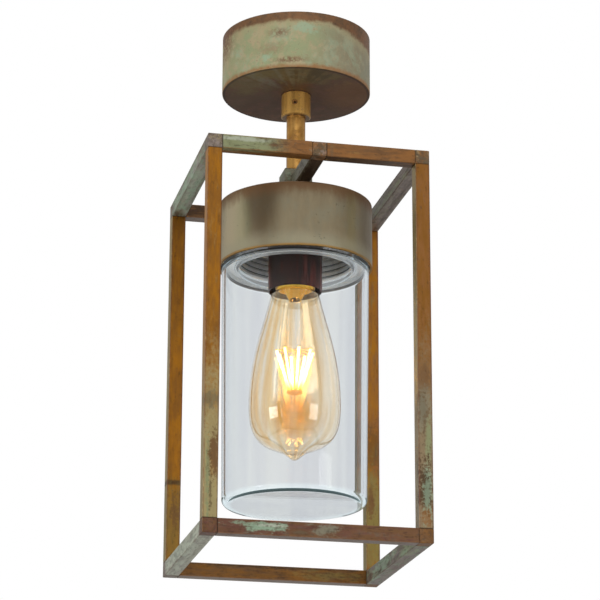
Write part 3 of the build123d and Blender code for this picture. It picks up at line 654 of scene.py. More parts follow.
class LIGHT_OT_rose(bpy.types.Operator):
    """Finish the ceiling rose: patina with a brown upper band, stains and a rubbed lower edge"""
    bl_idname = "ceiling_light.rose"
    bl_label = "Rose"

    def execute(self, context):
        paint = context.scene.light_brass
        low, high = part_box("rose")
        finish = Finish("rose patina")
        wide = finish.noise(0.045, 2.0, shift=1.0)
        veil = finish.noise(0.018, 3.0, (1.0, 1.0, 0.6), 9.0)
        blotch = finish.noise(0.008, 4.0, shift=2.0)
        speck = finish.noise(0.0024, 4.0, shift=4.0)
        fine = finish.noise(0.0012, 2.0, shift=6.0)
        ragged = blotch * 0.5 + speck * 0.5
        tone = self.patina(finish, paint, wide, veil, blotch, ragged)
        level = finish.axis("Z")
        aside = finish.axis("X")
        right = aside.math("MAXIMUM", aside, 0.0)
        edge = level + 2.6 * right * right + 0.012 * (wide - 0.5) + 0.006 * (blotch - 0.5)
        # Tan fringe under the band, lower to the right: partly patina, partly a painted highlight line.
        tone.lay(paint.tan, finish.mask(edge, high.z - 0.015, high.z - 0.006) * 0.6)
        band = finish.mask(edge + 0.002 * (speck - 0.5), high.z - 0.0085, high.z - 0.0045)
        rust = finish.mix(paint.rust, paint.dark_brown, finish.share(ragged, 0.3, 0.2))
        tone.lay(rust, band * 0.92)
        tone.stain(ragged, (
            ((-0.0229, -0.0481, -0.0155), (0.009, 0.009, 0.0045), rust, 0.75),
            ((-0.0285, -0.0450, -0.0270), (0.012, 0.012, 0.0060), rust, 0.35),
            ((-0.0155, -0.0509, -0.0365), (0.014, 0.014, 0.0030), rust, 0.85),
            ((-0.0529, -0.0010, -0.0110), (0.014, 0.022, 0.0150), rust, 1.0),
        ), 4.0, finish.share(speck * 0.6 + blotch * 0.4, 0.6, 0.09))
        tone.stain(ragged, (
            ((-0.0311, -0.0432, -0.0338), (0.004, 0.004, 0.0030), paint.mint, 0.6),
            ((-0.0060, -0.0530, -0.0120), (0.010, 0.006, 0.0040), paint.mint, 0.6),
        ), 4.0)
        rim = 1.0 - finish.mask(level + 0.005 * (blotch - 0.5), low.z + 0.001, low.z + 0.0042)
        tone.lay(paint.orange, rim * (0.35 + 0.9 * speck))
        tone.lay(paint.dark_brown, finish.share(fine * 0.5 + speck * 0.5, 0.14, 0.05) * 0.3)
        # Faces that look down take the underside colour, partly tarnish and partly painted shade.
        under = finish.mask(finish.facing("Z"), -0.5, -0.9)
        tone.lay(self.underside(finish, paint, low.z, wide, blotch, speck), under)
        # Painted shadow: a dark line on the underside along the rim's outer edge.
        lip = finish.mask(finish.outward(), high.x - 0.0024, high.x - 0.0018)
        tone.lay(paint.soot_and_shade, under * lip * 0.55)
        dress(finish.surface({
            "Base Color": tone.colour,
            "Metallic": 0.12 + 0.3 * band + 0.2 * under,
            "Roughness": 0.52 - 0.08 * band + 0.2 * (speck - 0.5) + 0.1 * under,
            "Normal": finish.bump(speck * 0.5 + fine * 0.3 + blotch * 0.3, 0.0003, 0.6),
        }), "rose")
        return {"FINISHED"}

    def patina(self, finish, paint, wide, veil, blotch, ragged):
        """Clouds of sage and tan on the left, mint drifts, and a cool film on the right."""
        tone = Coats(finish, paint.sage, paint.tan, finish.share(wide * 0.6 + blotch * 0.4, 0.4, 0.12) * 0.7)
        cool = finish.mask(finish.axis("X") + 0.05 * (veil - 0.5), -0.012, 0.035)
        film = finish.mix(paint.grey_green, paint.stone, finish.share(veil, 0.5, 0.12))
        tone.lay(finish.mix(film, paint.umber, 0.2), cool * 0.85)
        tone.lay(paint.mint, finish.share(veil * 0.6 + blotch * 0.4, 0.32, 0.07) * 0.5)
        tone.lay(paint.crust, finish.share(ragged, 0.4, 0.08) * (1.0 - 0.6 * cool) * 0.7)
        return tone

    def underside(self, finish, paint, level, wide, blotch, speck):
        """Dark brown, partly tarnish and partly painted shade, with a green drift before the collar, and
        smears that run out from it.
        """
        dusty = finish.share(wide * 0.7 + speck * 0.3, 0.5, 0.2)
        tone = Coats(finish, paint.cocoa, paint.umber, dusty * 0.5)
        tone.lay(paint.red_brown, finish.share(blotch, 0.3, 0.12) * 0.4)
        ragged = blotch * 0.7 + speck * 0.3
        tone.stain(ragged, (
            ((-0.012, -0.040, level), (0.044, 0.018, 0.01), paint.olive, 0.5),
            ((-0.040, -0.020, level), (0.022, 0.028, 0.01), paint.olive, 0.35),
            ((0.040, -0.012, level), (0.026, 0.036, 0.01), paint.orange, 0.3),
        ), 2.0)
        smear = finish.share(finish.streaks(7.0, 0.0) * 0.5 + blotch * 0.5, 0.45, 0.08)
        pale = ((-0.024, -0.032, level), (0.032, 0.024, 0.01), paint.grey_green, 0.5)
        tone.stain(ragged, (pale,), 2.0, smear)
        dark = ((0.006, -0.040, level), (0.022, 0.014, 0.01), paint.soot_and_shade, 0.5)
        tone.stain(ragged, (dark,), 2.0, 1.0 - smear)
        tone.lay(paint.orange, finish.share(speck * 0.6 + blotch * 0.4, 0.12, 0.06) * 0.3)
        return tone.colour


class LIGHT_OT_stem(bpy.types.Operator):
    """Finish the stem, its collar and spacer in rubbed golden brass, with a dark grub screw"""
    bl_idname = "ceiling_light.stem"
    bl_label = "Stem"

    def execute(self, context):
        paint = context.scene.light_brass
        self.brass(paint)
        self.grub_screw(paint)
        return {"FINISHED"}

    def brass(self, paint):
        """Brass rubbed bright, with upright brown bands, brown specks and painted shade on the faces below.

        The collar, above the level of its lower end, is a brighter gold: partly brighter brass and partly
        painted light that lifts it out of the rose's shade.
        """
        finish = Finish("stem brass")
        brush = finish.noise(0.004, 3.0, (1.0, 1.0, 0.2), 1.5)
        cloud = finish.noise(0.007, 3.0, shift=2.5)
        speck = finish.noise(0.0030, 3.0, shift=4.5)
        tone = Coats(finish, paint.gold, paint.honey, finish.share(brush * 0.5 + cloud * 0.5, 0.45, 0.12))
        tone.lay(paint.ochre, finish.share(cloud, 0.3, 0.1) * 0.4)
        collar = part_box("collar")[0].z
        # Partly painted light: the collar is made brighter than its shade would show it.
        tone.lay(paint.bright_gold, finish.mask(finish.axis("Z"), collar - 0.0005, collar) * 0.85)
        tone.lay(paint.brown, finish.share(finish.streaks(2.6, 2.0), 0.5, 0.12) * 0.3)
        stained = finish.share(speck * 0.6 + cloud * 0.4, 0.14, 0.07)
        tone.lay(paint.brown, stained * 0.6)
        # Painted shade: faces that look down go dark brown.
        under = finish.mask(finish.facing("Z"), -0.5, -0.9)
        tone.lay(paint.dark_brown, under * 0.85)
        dress(finish.surface({
            "Base Color": tone.colour,
            "Metallic": 0.8 - 0.3 * stained - 0.4 * under,
            "Roughness": 0.3 + 0.2 * (brush - 0.5) + 0.2 * stained,
            "Normal": finish.bump(brush * 0.5 + speck * 0.5, 0.0001, 0.5),
        }), "stem", "collar", "spacer_bush")

    def grub_screw(self, paint):
        """Tarnished end with the shade of a socket painted dark in the middle."""
        low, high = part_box("grub_screw")
        finish = Finish("grub screw")
        cloud = finish.noise(0.001)
        away = finish.vector("SUBTRACT", finish.point, tuple((low + high) / 2))
        away = finish.vector("MULTIPLY", away, (1.0, 0.0, 1.0))
        away = finish.vector("LENGTH", away, output="Value")
        # Painted shade: a dark disc stands for the socket's recess.
        end = 1.0 - finish.mask(away, 0.0006, 0.0010)
        dress(finish.surface({
            "Base Color": finish.mix(finish.mix(paint.honey, paint.brown, cloud), paint.soot_and_shade, end),
            "Metallic": 0.6 - 0.5 * end,
            "Roughness": 0.4 + 0.3 * cloud,
        }), "grub_screw")


class LIGHT_OT_frame(bpy.types.Operator):
    """Finish the posts, bars and blocks of the box frame"""
    bl_idname = "ceiling_light.frame"
    bl_label = "Frame"

    def execute(self, context):
        paint = context.scene.light_brass
        low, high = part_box("post_front_right")
        half = (high.x - low.x) / 2
        post_x, post_y = (high.x + low.x) / 2, -(high.y + low.y) / 2
        upright = long_edges(off_middle("X", post_x), off_middle("Y", post_y), half, 0.0016)
        across = long_edges(off_middle("Y", post_y), self.off_level(half), half)
        along = long_edges(off_middle("X", post_x), self.off_level(half), half)
        middle = long_edges(off_middle("X", 0.0), self.off_level(half), half)
        self.posts(paint, upright, (("Z", -high.z), ("Z", -low.z)))
        self.cross_bars(paint, across, ("X", low.x), ("X", half))
        self.side_bars(paint, along, middle, ("Y", -high.y))
        self.blocks(paint)
        return {"FINISHED"}

    def off_level(self, half):
        """Distance from the middle planes of the top and bottom bars, whichever is nearer."""
        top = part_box("top_bar_left")[1].z - half
        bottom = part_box("bottom_bar_left")[0].z + half

        def distance(finish):
            level = finish.axis("Z")
            return level.math("MINIMUM", abs(level - top), abs(level - bottom))
        return distance

    def posts(self, paint, edge, seams):
        """Golden above, and each one stained in its own way towards the foot."""
        rows = {
            "front_left": (paint.old_gold, paint.dull_gold, paint.ochre, 0.2, 0.05, paint.honey, (
                ((-0.0725, -0.0725, -0.365), (0.04, 0.04, 0.110), paint.tan_olive, 0.95, 1.6),
                ((-0.0725, -0.0775, -0.294), (0.01, 0.01, 0.006), paint.umber, 0.6),
                ((-0.0745, -0.0775, -0.345), (0.0016, 0.01, 0.03), paint.sage, 0.8),
                ((-0.0705, -0.0775, -0.330), (0.0035, 0.006, 0.018), paint.brown, 0.9),
                ((-0.0725, -0.0775, -0.355), (0.0012, 0.006, 0.016), paint.dark_brown, 0.6))),
            "front_right": (paint.dull_gold, paint.orange, paint.brown, 0.15, 0.08, paint.tan_olive, (
                ((0.0725, -0.0725, -0.350), (0.04, 0.04, 0.110), paint.drab, 0.9, 1.8),
                ((0.0725, -0.0775, -0.269), (0.0060, 0.006, 0.010), paint.brown, 0.7),
                ((0.0705, -0.0775, -0.291), (0.0045, 0.006, 0.016), paint.umber, 0.7, -5.0),
                ((0.0715, -0.0775, -0.291), (0.0050, 0.006, 0.014), paint.grey_green, 0.45, 7.0),
                ((0.0745, -0.0775, -0.314), (0.0024, 0.006, 0.018), paint.sage, 0.8, 4.0),
                ((0.0720, -0.0775, -0.345), (0.0060, 0.006, 0.020), paint.dark_brown, 0.85, -7.0),
                ((0.0735, -0.0775, -0.350), (0.0030, 0.006, 0.018), paint.mint, 0.55, 8.0),
                ((0.0725, -0.0775, -0.366), (0.0050, 0.006, 0.008), paint.orange, 0.6, -6.0))),
            "back_left": (paint.dull_gold, paint.old_gold, paint.ochre, 0.12, 0.14, paint.tan_olive, (
                ((-0.0725, 0.0675, -0.3165), (0.04, 0.04, 0.0022), paint.dark_brown, 0.9, 1.0),
                ((-0.0725, 0.0675, -0.348), (0.03, 0.03, 0.034), paint.olive, 0.5, 2.0),
                ((-0.0715, 0.0675, -0.338), (0.0035, 0.006, 0.014), paint.brown, 0.8))),
            "back_right": (paint.old_gold, paint.orange, paint.olive, 0.2, 0.12, paint.tan_olive, (
                ((0.0725, 0.0675, -0.285), (0.02, 0.02, 0.022), paint.dark_brown, 0.55),
                ((0.0725, 0.0675, -0.338), (0.03, 0.03, 0.044), paint.olive, 0.9, 3.0),
                ((0.0710, 0.0675, -0.324), (0.0030, 0.006, 0.014), paint.brown, 0.9))),
        }
        # Each post's side colour is painted light on its left faces.
        for shift, (name, row) in enumerate(rows.items()):
            metal, tarnish, bloom, bloomed, dirty, side, stains = row
            brass = aged_brass("post brass " + name, metal, tarnish, bloom, paint.soot_and_shade, bloomed, dirty, "Z",
                               20.0 + 1.7 * shift, stains, edge, paint.red_brown, side=side, seams=seams,
                               mottled=0.08, metallic=0.8, fleck=0.45)
            dress(brass, "post_" + name)

    def cross_bars(self, paint, edge, end, block):
        """Bars of the front and back: brown and golden, with green patches."""
        rows = (
            (("top_bar_front_left",), paint.umber, paint.brown, paint.grey_green, 0.2, 0.22,
             paint.dull_gold, 0.3, (
                ((-0.0640, -0.0775, -0.1120), (0.044, 0.006, 0.012), paint.sage, 0.85, 3.0),
                ((-0.0530, -0.0775, -0.1095), (0.020, 0.006, 0.0018), paint.chalk, 0.6, 3.0),
                ((-0.0080, -0.0775, -0.1120), (0.022, 0.006, 0.012), paint.orange, 0.85, 3.0))),
            (("top_bar_front_right",), paint.orange, paint.brown, paint.ochre, 0.2, 0.08,
             paint.dark_brown, 2.6, (
                ((0.0085, -0.0775, -0.112), (0.0012, 0.006, 0.009), paint.umber, 0.4),
                ((0.0620, -0.0775, -0.112), (0.012, 0.006, 0.009), paint.orange, 0.6))),
            (("top_bar_back_left", "top_bar_back_right"), paint.brown, paint.dark_brown, paint.red_brown,
             0.2, 0.3, paint.mauve, 4.4, ()),
            (("bottom_bar_front",), paint.brown, paint.red_brown, paint.umber, 0.25, 0.28,
             paint.mauve, 8.3, (
                ((-0.0580, -0.0775, -0.378), (0.010, 0.006, 0.006), paint.red_brown, 0.7),
                ((-0.0380, -0.0775, -0.3775), (0.017, 0.006, 0.0034), paint.mint, 0.95),
                ((-0.0340, -0.0775, -0.3765), (0.010, 0.006, 0.0010), paint.chalk, 0.7),
                ((0.0030, -0.0775, -0.3775), (0.012, 0.006, 0.0040), paint.grey_green, 0.75),
                ((-0.0120, -0.0775, -0.3800), (0.008, 0.006, 0.0016), paint.umber, 0.8),
                ((0.0560, -0.0775, -0.378), (0.020, 0.006, 0.006), paint.brown, 0.5))),
            (("bottom_bar_back",), paint.dull_gold, paint.brown, paint.ochre, 0.15, 0.3, paint.mauve, 9.4, (
                ((0.0, 0.0675, -0.3735), (0.08, 0.006, 0.0016), paint.dark_brown, 0.8),
                ((0.0400, 0.0675, -0.378), (0.024, 0.006, 0.0035), paint.olive, 0.5))),
        )
        # The under colours are partly tarnish and partly painted shade on the bars' downward faces.
        for nodes, metal, tarnish, bloom, bloomed, dirty, under, shift, stains in rows:
            seams = (end,) if "bottom" in nodes[0] else (end, block)
            brass = aged_brass(nodes[0] + " brass", metal, tarnish, bloom, paint.soot_and_shade, bloomed, dirty, "X",
                               shift, stains, edge, paint.orange, under, seams=seams, mottled=0.15)
            dress(brass, *nodes)

    def side_bars(self, paint, edge, middle, end):
        """Bars that run back: crusted with pale patina, the cross bar dull and dark."""
        rows = (
            (("top_bar_left",), paint.ash, paint.mauve, paint.mint, 0.45, 0.2, paint.ash, 5.2, (
                ((-0.0725, 0.020, -0.112), (0.012, 0.056, 0.012), paint.mint, 0.7),
                ((-0.0775, 0.0, -0.1085), (0.006, 0.070, 0.0020), paint.umber, 0.8),
                ((-0.0690, 0.010, -0.117), (0.0016, 0.060, 0.006), paint.umber, 0.7),
                ((-0.0750, 0.020, -0.117), (0.0016, 0.050, 0.006), paint.chalk, 0.7),
                ((-0.0725, 0.064, -0.112), (0.012, 0.008, 0.012), paint.dark_brown, 0.6),
                ((-0.0725, -0.056, -0.112), (0.012, 0.022, 0.012), paint.brown, 0.7))),
            (("top_bar_right",), paint.mauve, paint.umber, paint.grey_green, 0.35, 0.3, paint.mauve, 5.9, (
                ((0.0675, 0.030, -0.112), (0.006, 0.040, 0.008), paint.grey_green, 0.6),
                ((0.0675, 0.0, -0.1145), (0.006, 0.060, 0.0016), paint.sage, 0.7),
                ((0.0740, 0.0, -0.117), (0.0016, 0.060, 0.006), paint.dark_brown, 0.6))),
            (("cross_bar_front", "cross_bar_back"), paint.umber, paint.dark_brown, paint.grey_green,
             0.25, 0.3, paint.dark_brown, 6.1, (
                ((-0.005, 0.0, -0.112), (0.002, 0.08, 0.012), paint.grey_green, 0.8),)),
            (("bottom_bar_left",), paint.ash, paint.mauve, paint.chalk, 0.6, 0.28, paint.ash, 10.7, (
                ((-0.0775, 0.0, -0.378), (0.006, 0.080, 0.008), paint.mint, 0.5),
                ((-0.0775, -0.030, -0.3760), (0.006, 0.030, 0.0014), paint.umber, 0.6),
                ((-0.0748, -0.030, -0.383), (0.0012, 0.034, 0.006), paint.chalk, 0.9),
                ((-0.0706, -0.010, -0.383), (0.0012, 0.044, 0.006), paint.umber, 0.7),
                ((-0.0728, 0.040, -0.383), (0.0012, 0.030, 0.006), paint.chalk, 0.9))),
            (("bottom_bar_right",), paint.mauve, paint.umber, paint.mint, 0.36, 0.3, paint.mauve, 12.5, (
                ((0.0675, -0.050, -0.378), (0.006, 0.022, 0.008), paint.sage, 0.8),
                ((0.0675, 0.020, -0.378), (0.006, 0.030, 0.006), paint.mint, 0.7),
                ((0.0725, 0.0, -0.383), (0.004, 0.030, 0.006), paint.red_brown, 0.4))),
        )
        # The under colours are partly tarnish and partly painted shade on the bars' downward faces.
        for nodes, metal, tarnish, bloom, bloomed, dirty, under, shift, stains in rows:
            rubbed = middle if "cross" in nodes[0] else edge
            brass = aged_brass(nodes[0] + " brass", metal, tarnish, bloom, paint.soot_and_shade, bloomed, dirty, "Y",
                               shift, stains, rubbed, paint.umber, under, seams=(end,))
            dress(brass, *nodes)

    def blocks(self, paint):
        """Corner and middle blocks: brown, golden or under a cool film, and a green hub."""
        rows = (
            (("corner_front_left_top", "corner_back_left_top"),
             paint.mauve, paint.umber, paint.tan, 0.3, 0.3, 14.2),
            (("corner_front_right_top", "corner_back_right_top"),
             paint.umber, paint.orange, paint.tan, 0.2, 0.2, 13.0),
            (("corner_front_left_bottom",), paint.brown, paint.red_brown, paint.umber, 0.2, 0.25, 16.0),
            (("corner_front_right_bottom", "corner_back_right_bottom"),
             paint.brown, paint.dull_gold, paint.umber, 0.2, 0.25, 16.0),
            (("corner_back_left_bottom",), paint.mauve, paint.umber, paint.grey_green, 0.3, 0.25, 17.0),
            (("middle_block_front", "middle_block_back"),
             paint.umber, paint.orange, paint.mauve, 0.3, 0.2, 18.0),
            (("hub_block",), paint.grey_green, paint.umber, paint.mint, 0.4, 0.25, 15.0),
        )
        for nodes, metal, tarnish, bloom, bloomed, dirty, shift in rows:
            brass = aged_brass(nodes[0] + " brass", metal, tarnish, bloom, paint.soot_and_shade, bloomed, dirty,
                               shift=shift)
            dress(brass, *nodes)


class LIGHT_OT_cap(bpy.types.Operator):
    """Finish the cap over the glass: satin film with soft upright streaks, painted reflections and a rubbed
    rim
    """
    bl_idname = "ceiling_light.cap"
    bl_label = "Cap"

    def execute(self, context):
        paint = context.scene.light_brass
        low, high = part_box("cap")
        middle = (low.z + high.z) / 2
        finish = Finish("cap patina")
        level = finish.axis("Z")
        streak = finish.noise(0.016, 2.0, (1.0, 1.0, 0.12), 1.0)
        brush = finish.noise(0.004, 3.0, (1.0, 1.0, 0.3), 2.0)
        cloud = finish.noise(0.014, 4.0, shift=3.0)
        speck = finish.noise(0.0022, 3.0, shift=5.0)
        shade = finish.share(streak * 0.7 + brush * 0.3, 0.4, 0.2)
        tone = Coats(finish, paint.stone, paint.umber, shade * 0.5)
        tone.lay(paint.grey_green, finish.share(cloud * 0.6 + brush * 0.4, 0.35, 0.12) * 0.4)
        # Painted reflections: the bistre band on the left, the buff left side and the umber patch on the
        # right.
        tone.stain(streak * 0.6 + brush * 0.4, (
            ((-0.0345, -0.0418, middle + 0.016), (0.016, 0.016, 0.04), paint.bistre, 0.65),
            ((-0.0500, -0.0200, middle), (0.012, 0.018, 0.08), paint.buff, 0.85),
            ((-0.0440, -0.0310, low.z + 0.018), (0.009, 0.010, 0.03), paint.sage, 0.25),
            ((0.0470, -0.0270, middle), (0.018, 0.020, 0.06), paint.umber, 0.6),
            ((0.0300, -0.0450, middle), (0.006, 0.006, 0.06), paint.olive, 0.3),
        ), 1.0)
        pale = 1.0 - finish.mask(level + 0.010 * (cloud - 0.5), low.z + 0.003, low.z + 0.014)
        tone.lay(paint.putty, pale * 0.6)
        edge = level + 0.010 * (cloud - 0.5) + 0.008 * (brush - 0.5)
        tone.lay(paint.brown, finish.mask(edge, high.z - 0.013, high.z - 0.002) * 0.85)
        rim = 1.0 - finish.mask(level + 0.0012 * (cloud - 0.5), low.z + 0.0006, low.z + 0.0018)
        tone.lay(paint.ochre, rim * 0.8)
        tone.lay(paint.soot_and_shade, finish.share(speck * 0.7 + cloud * 0.3, 0.0, 0.04) * 0.4)
        # Painted light: below the roof, the inside of the cap is laid near white.
        roof = finish.mask(level, high.z - 0.0016, high.z - 0.0014)
        inside = (1.0 - finish.mask(finish.outward(), high.x - 0.0016, high.x - 0.0014)) * (1.0 - roof)
        tone.lay(paint.painted_light_inside, inside)
        dress(finish.surface({
            "Base Color": tone.colour,
            "Metallic": (0.5 + 0.2 * rim) * (1.0 - inside),
            "Roughness": 0.42 + 0.2 * (brush - 0.5) + 0.1 * (speck - 0.5) + 0.3 * inside,
            "Normal": finish.bump(speck * 0.4 + brush * 0.6, 0.00016, 0.5),
        }), "cap")
        return {"FINISHED"}


class LIGHT_OT_glass(bpy.types.Operator):
    """Make the glass cup with its screw neck, the ring that it screws into, and its seal"""
    bl_idname = "ceiling_light.glass"
    bl_label = "Glass"

    def execute(self, context):
        sizes = context.scene.light_glass
        low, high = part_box("glass")
        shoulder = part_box("glass_seal")[0].z
        self.cup(sizes, low, high, shoulder)
        self.ring(sizes)
        self.seal(sizes)
        return {"FINISHED"}

    def cup(self, sizes, low, high, shoulder):
        """Cup: underside, tapered wall, shoulder, threaded neck, and the same way back inside."""
        bore = sizes.neck - sizes.neck_wall
        under = shoulder - sizes.shoulder
        outline = rounded([
            (0.0, low.z, 0.0),
            (sizes.foot, low.z, sizes.foot_radius),
            (high.x, shoulder, sizes.shoulder_radius),
            (sizes.neck, shoulder, 0.0006),
            (sizes.neck, high.z, 0.0009),
            (bore, high.z, 0.0009),
            (bore, under, 0.0008),
            (high.x - sizes.wall, under, sizes.inside_radius),
            (sizes.foot - sizes.wall, low.z + sizes.floor, sizes.floor_radius),
            (0.0, low.z + sizes.floor, 0.0),
        ], 10)
        outline = filled(outline, 0.00035, shoulder + 0.0007, high.z - 0.001)
        thread = screw(sizes.neck, sizes.pitch, sizes.depth, shoulder + 0.0015, high.z - 0.0015, 0.002)
        glass = self.clear_glass(sizes, low.z, shoulder, high.x)
        piece("glass_cup", [lathe(outline, 192, thread)], glass, "glass_cup", "clear_glass", "glass")

    def clear_glass(self, sizes, bottom, shoulder, rim):
        """Clear glass, blue green where it is thick, with a painted glow of light on its foot and shoulder.

        A painted dark line runs round the shoulder, close under the rim of the cap: the shade of the gap
        above.
        """
        finish = Finish("clear glass")
        level = finish.axis("Z")
        out = finish.outward()
        # Painted light: the foot and the shoulder bend glow by emission.
        foot = finish.mask(out, sizes.foot - 0.008, sizes.foot - 0.004)
        foot = foot * (1.0 - finish.mask(level, bottom + 0.003, bottom + 0.006))
        bend = finish.mask(level, shoulder - 0.006, shoulder - 0.004)
        bend = bend * (1.0 - finish.mask(level, shoulder, shoulder + 0.002))
        # Painted shade: a dark line round the shoulder, under the cap's rim.
        line = finish.mask(level, shoulder - 0.0042, shoulder - 0.0034)
        line = line * finish.mask(out, rim - 0.0015, rim - 0.0008)
        streak = finish.share(finish.streaks(3.6, 1.2), 0.5, 0.2)
        tone = finish.mix((0.835, 0.832, 0.85), (0.905, 0.902, 0.893), streak)
        glow = finish.mix((0.0, 0.0, 0.0), (0.045, 0.066, 0.068), foot)
        return finish.clear({
            "Base Color": finish.mix(tone, (0.05, 0.04, 0.035), line),
            "Roughness": 0.0,
            "IOR": 1.2,
            "Transmission Weight": 1.0,
            "Emission Color": finish.mix(glow, (0.09, 0.09, 0.088), bend * (1.0 - line)),
            "Emission Strength": 1.0,
        }, (0.40, 0.62, 0.72), 40.0)

    def ring(self, sizes):
        """Ring: flange and tube, its bore cut by the neck's thread moved out by the clearance."""
        low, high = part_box("glass_ring")
        bore = sizes.neck + sizes.clearance
        tube = bore + sizes.ring_wall
        outline = rounded([
            (bore, low.z, 0.0),
            (high.x, low.z, 0.0003),
            (high.x, low.z + sizes.ring_flange, 0.0003),
            (tube, low.z + sizes.ring_flange, 0.0),
            (tube, high.z, 0.0004),
            (bore, high.z, 0.0),
            (bore, low.z, 0.0),
        ])
        outline = filled(outline, 0.0004, low.z, high.z)
        thread = screw(bore, sizes.pitch, sizes.depth, low.z - 1.0, high.z + 1.0, 0.001)
        # Near white and dull: partly pale aluminium, partly painted light for the ring's shaded place in the
        # cap.
        alloy = plain_metal("ring alloy", linear(250, 247, 243), linear(234, 230, 226), 0.5, 0.0, 0.003)
        piece("glass_ring", [lathe(outline, 160, thread)], alloy, "fixture", "ring_aluminium", "glass_ring")

    def seal(self, sizes):
        """Seal: a flat band with rounded edges."""
        low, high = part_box("glass_seal")
        inner = high.x - sizes.seal_width
        round_by = (high.z - low.z) * 0.4
        middle = (high.x + inner) / 2
        outline = rounded([
            (middle, low.z, 0.0),
            (high.x, low.z, round_by),
            (high.x, high.z, round_by),
            (inner, high.z, round_by),
            (inner, low.z, round_by),
            (middle, low.z, 0.0),
        ])
        rubber = moulded("seal rubber", linear(206, 204, 200), linear(190, 187, 182), 0.5, size=0.004)
        piece("glass_seal", [lathe(outline, 128)], rubber, "glass_seal", "seal_rubber", "glass_seal")


class LIGHT_OT_holder(bpy.types.Operator):
    """Make the lamp holder's skirt and threaded sleeve, and finish its dome, insert and contact"""
    bl_idname = "ceiling_light.holder"
    bl_label = "Lamp holder"

    def execute(self, context):
        sizes = context.scene.light_holder
        bakelite = self.bakelite()
        dress(bakelite, "holder_dome")
        china = moulded("holder porcelain", linear(226, 222, 210), linear(210, 204, 190), 0.35, 0.3)
        dress(china, "holder_insert")
        brass = plain_metal("contact brass", linear(200, 160, 80), linear(170, 125, 60), 0.3)
        dress(brass, "holder_contact")
        self.skirt(sizes, bakelite)
        self.sleeve(sizes)
        return {"FINISHED"}

    def bakelite(self):
        """Dark brown bakelite with upright maroon streaks towards the mouth, which are painted highlights.
        """
        low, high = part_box("holder_skirt")
        finish = Finish("holder bakelite")
        streak = finish.noise(0.007, 2.0, (1.0, 1.0, 0.12), 3.0)
        cloud = finish.noise(0.012, 4.0)
        # Painted highlights: bright marks upright streaks near the mouth.
        near = 1.0 - finish.mask(finish.axis("Z"), low.z + 0.002, high.z)
        bright = finish.share(streak, 0.4, 0.08) * near
        tone = finish.mix(linear(42, 22, 16), linear(24, 13, 10), finish.share(cloud, 0.45, 0.15))
        return finish.surface({
            "Base Color": finish.mix(tone, linear(96, 44, 36), bright * 0.8),
            "Roughness": 0.3 + 0.15 * (cloud - 0.5),
            "Specular IOR Level": 0.12,
            "Coat Weight": 0.12,
            "Coat Roughness": 0.08,
        })

    def skirt(self, sizes, bakelite):
        """Skirt: outer wall, seat of the sleeve's flange, bore, and a wider mouth with a round lip."""
        low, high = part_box("holder_skirt")
        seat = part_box("holder_sleeve")[1].x + 0.0001
        bore = sizes.sleeve_bore + sizes.sleeve_wall + 0.0001
        mouth = high.x - sizes.mouth_wall
        shelf = low.z + sizes.mouth_depth
        outline = rounded([
            (high.x - sizes.mouth_wall / 2, low.z, 0.0),
            (high.x, low.z, sizes.lip),
            (high.x, high.z, 0.0004),
            (seat, high.z, 0.0),
            (seat, high.z - sizes.flange_thickness, 0.0),
            (bore, high.z - sizes.flange_thickness, 0.0),
            (bore, shelf, 0.0004),
            (mouth, shelf, 0.0006),
            (mouth, low.z, sizes.lip),
            (high.x - sizes.mouth_wall / 2, low.z, 0.0),
        ])
        piece("holder_skirt", [lathe(outline, 128)], bakelite, "fixture", "holder_bakelite", "holder_skirt")

    def sleeve(self, sizes):
        """Sleeve: thin threaded tube with a flange on top."""
        low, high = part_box("holder_sleeve")
        outer = sizes.sleeve_bore + sizes.sleeve_wall
        outline = rounded([
            (sizes.sleeve_bore, low.z, 0.0),
            (outer, low.z, 0.0002),
            (outer, high.z - sizes.flange_thickness, 0.0),
            (high.x, high.z - sizes.flange_thickness, 0.0002),
            (high.x, high.z, 0.0002),
            (sizes.sleeve_bore, high.z, 0.0),
            (sizes.sleeve_bore, low.z, 0.0),
        ])
        outline = filled(outline, 0.0003, low.z, high.z)
        thread = screw(sizes.sleeve_bore, sizes.pitch, sizes.depth, low.z - 1.0, high.z + 1.0, 0.001)
        brass = plain_metal("sleeve brass", linear(196, 158, 84), linear(160, 118, 60), 0.3)
        shell = lathe(outline, 96, thread)
        piece("holder_sleeve", [shell], brass, "fixture", "contact_brass", "holder_sleeve")


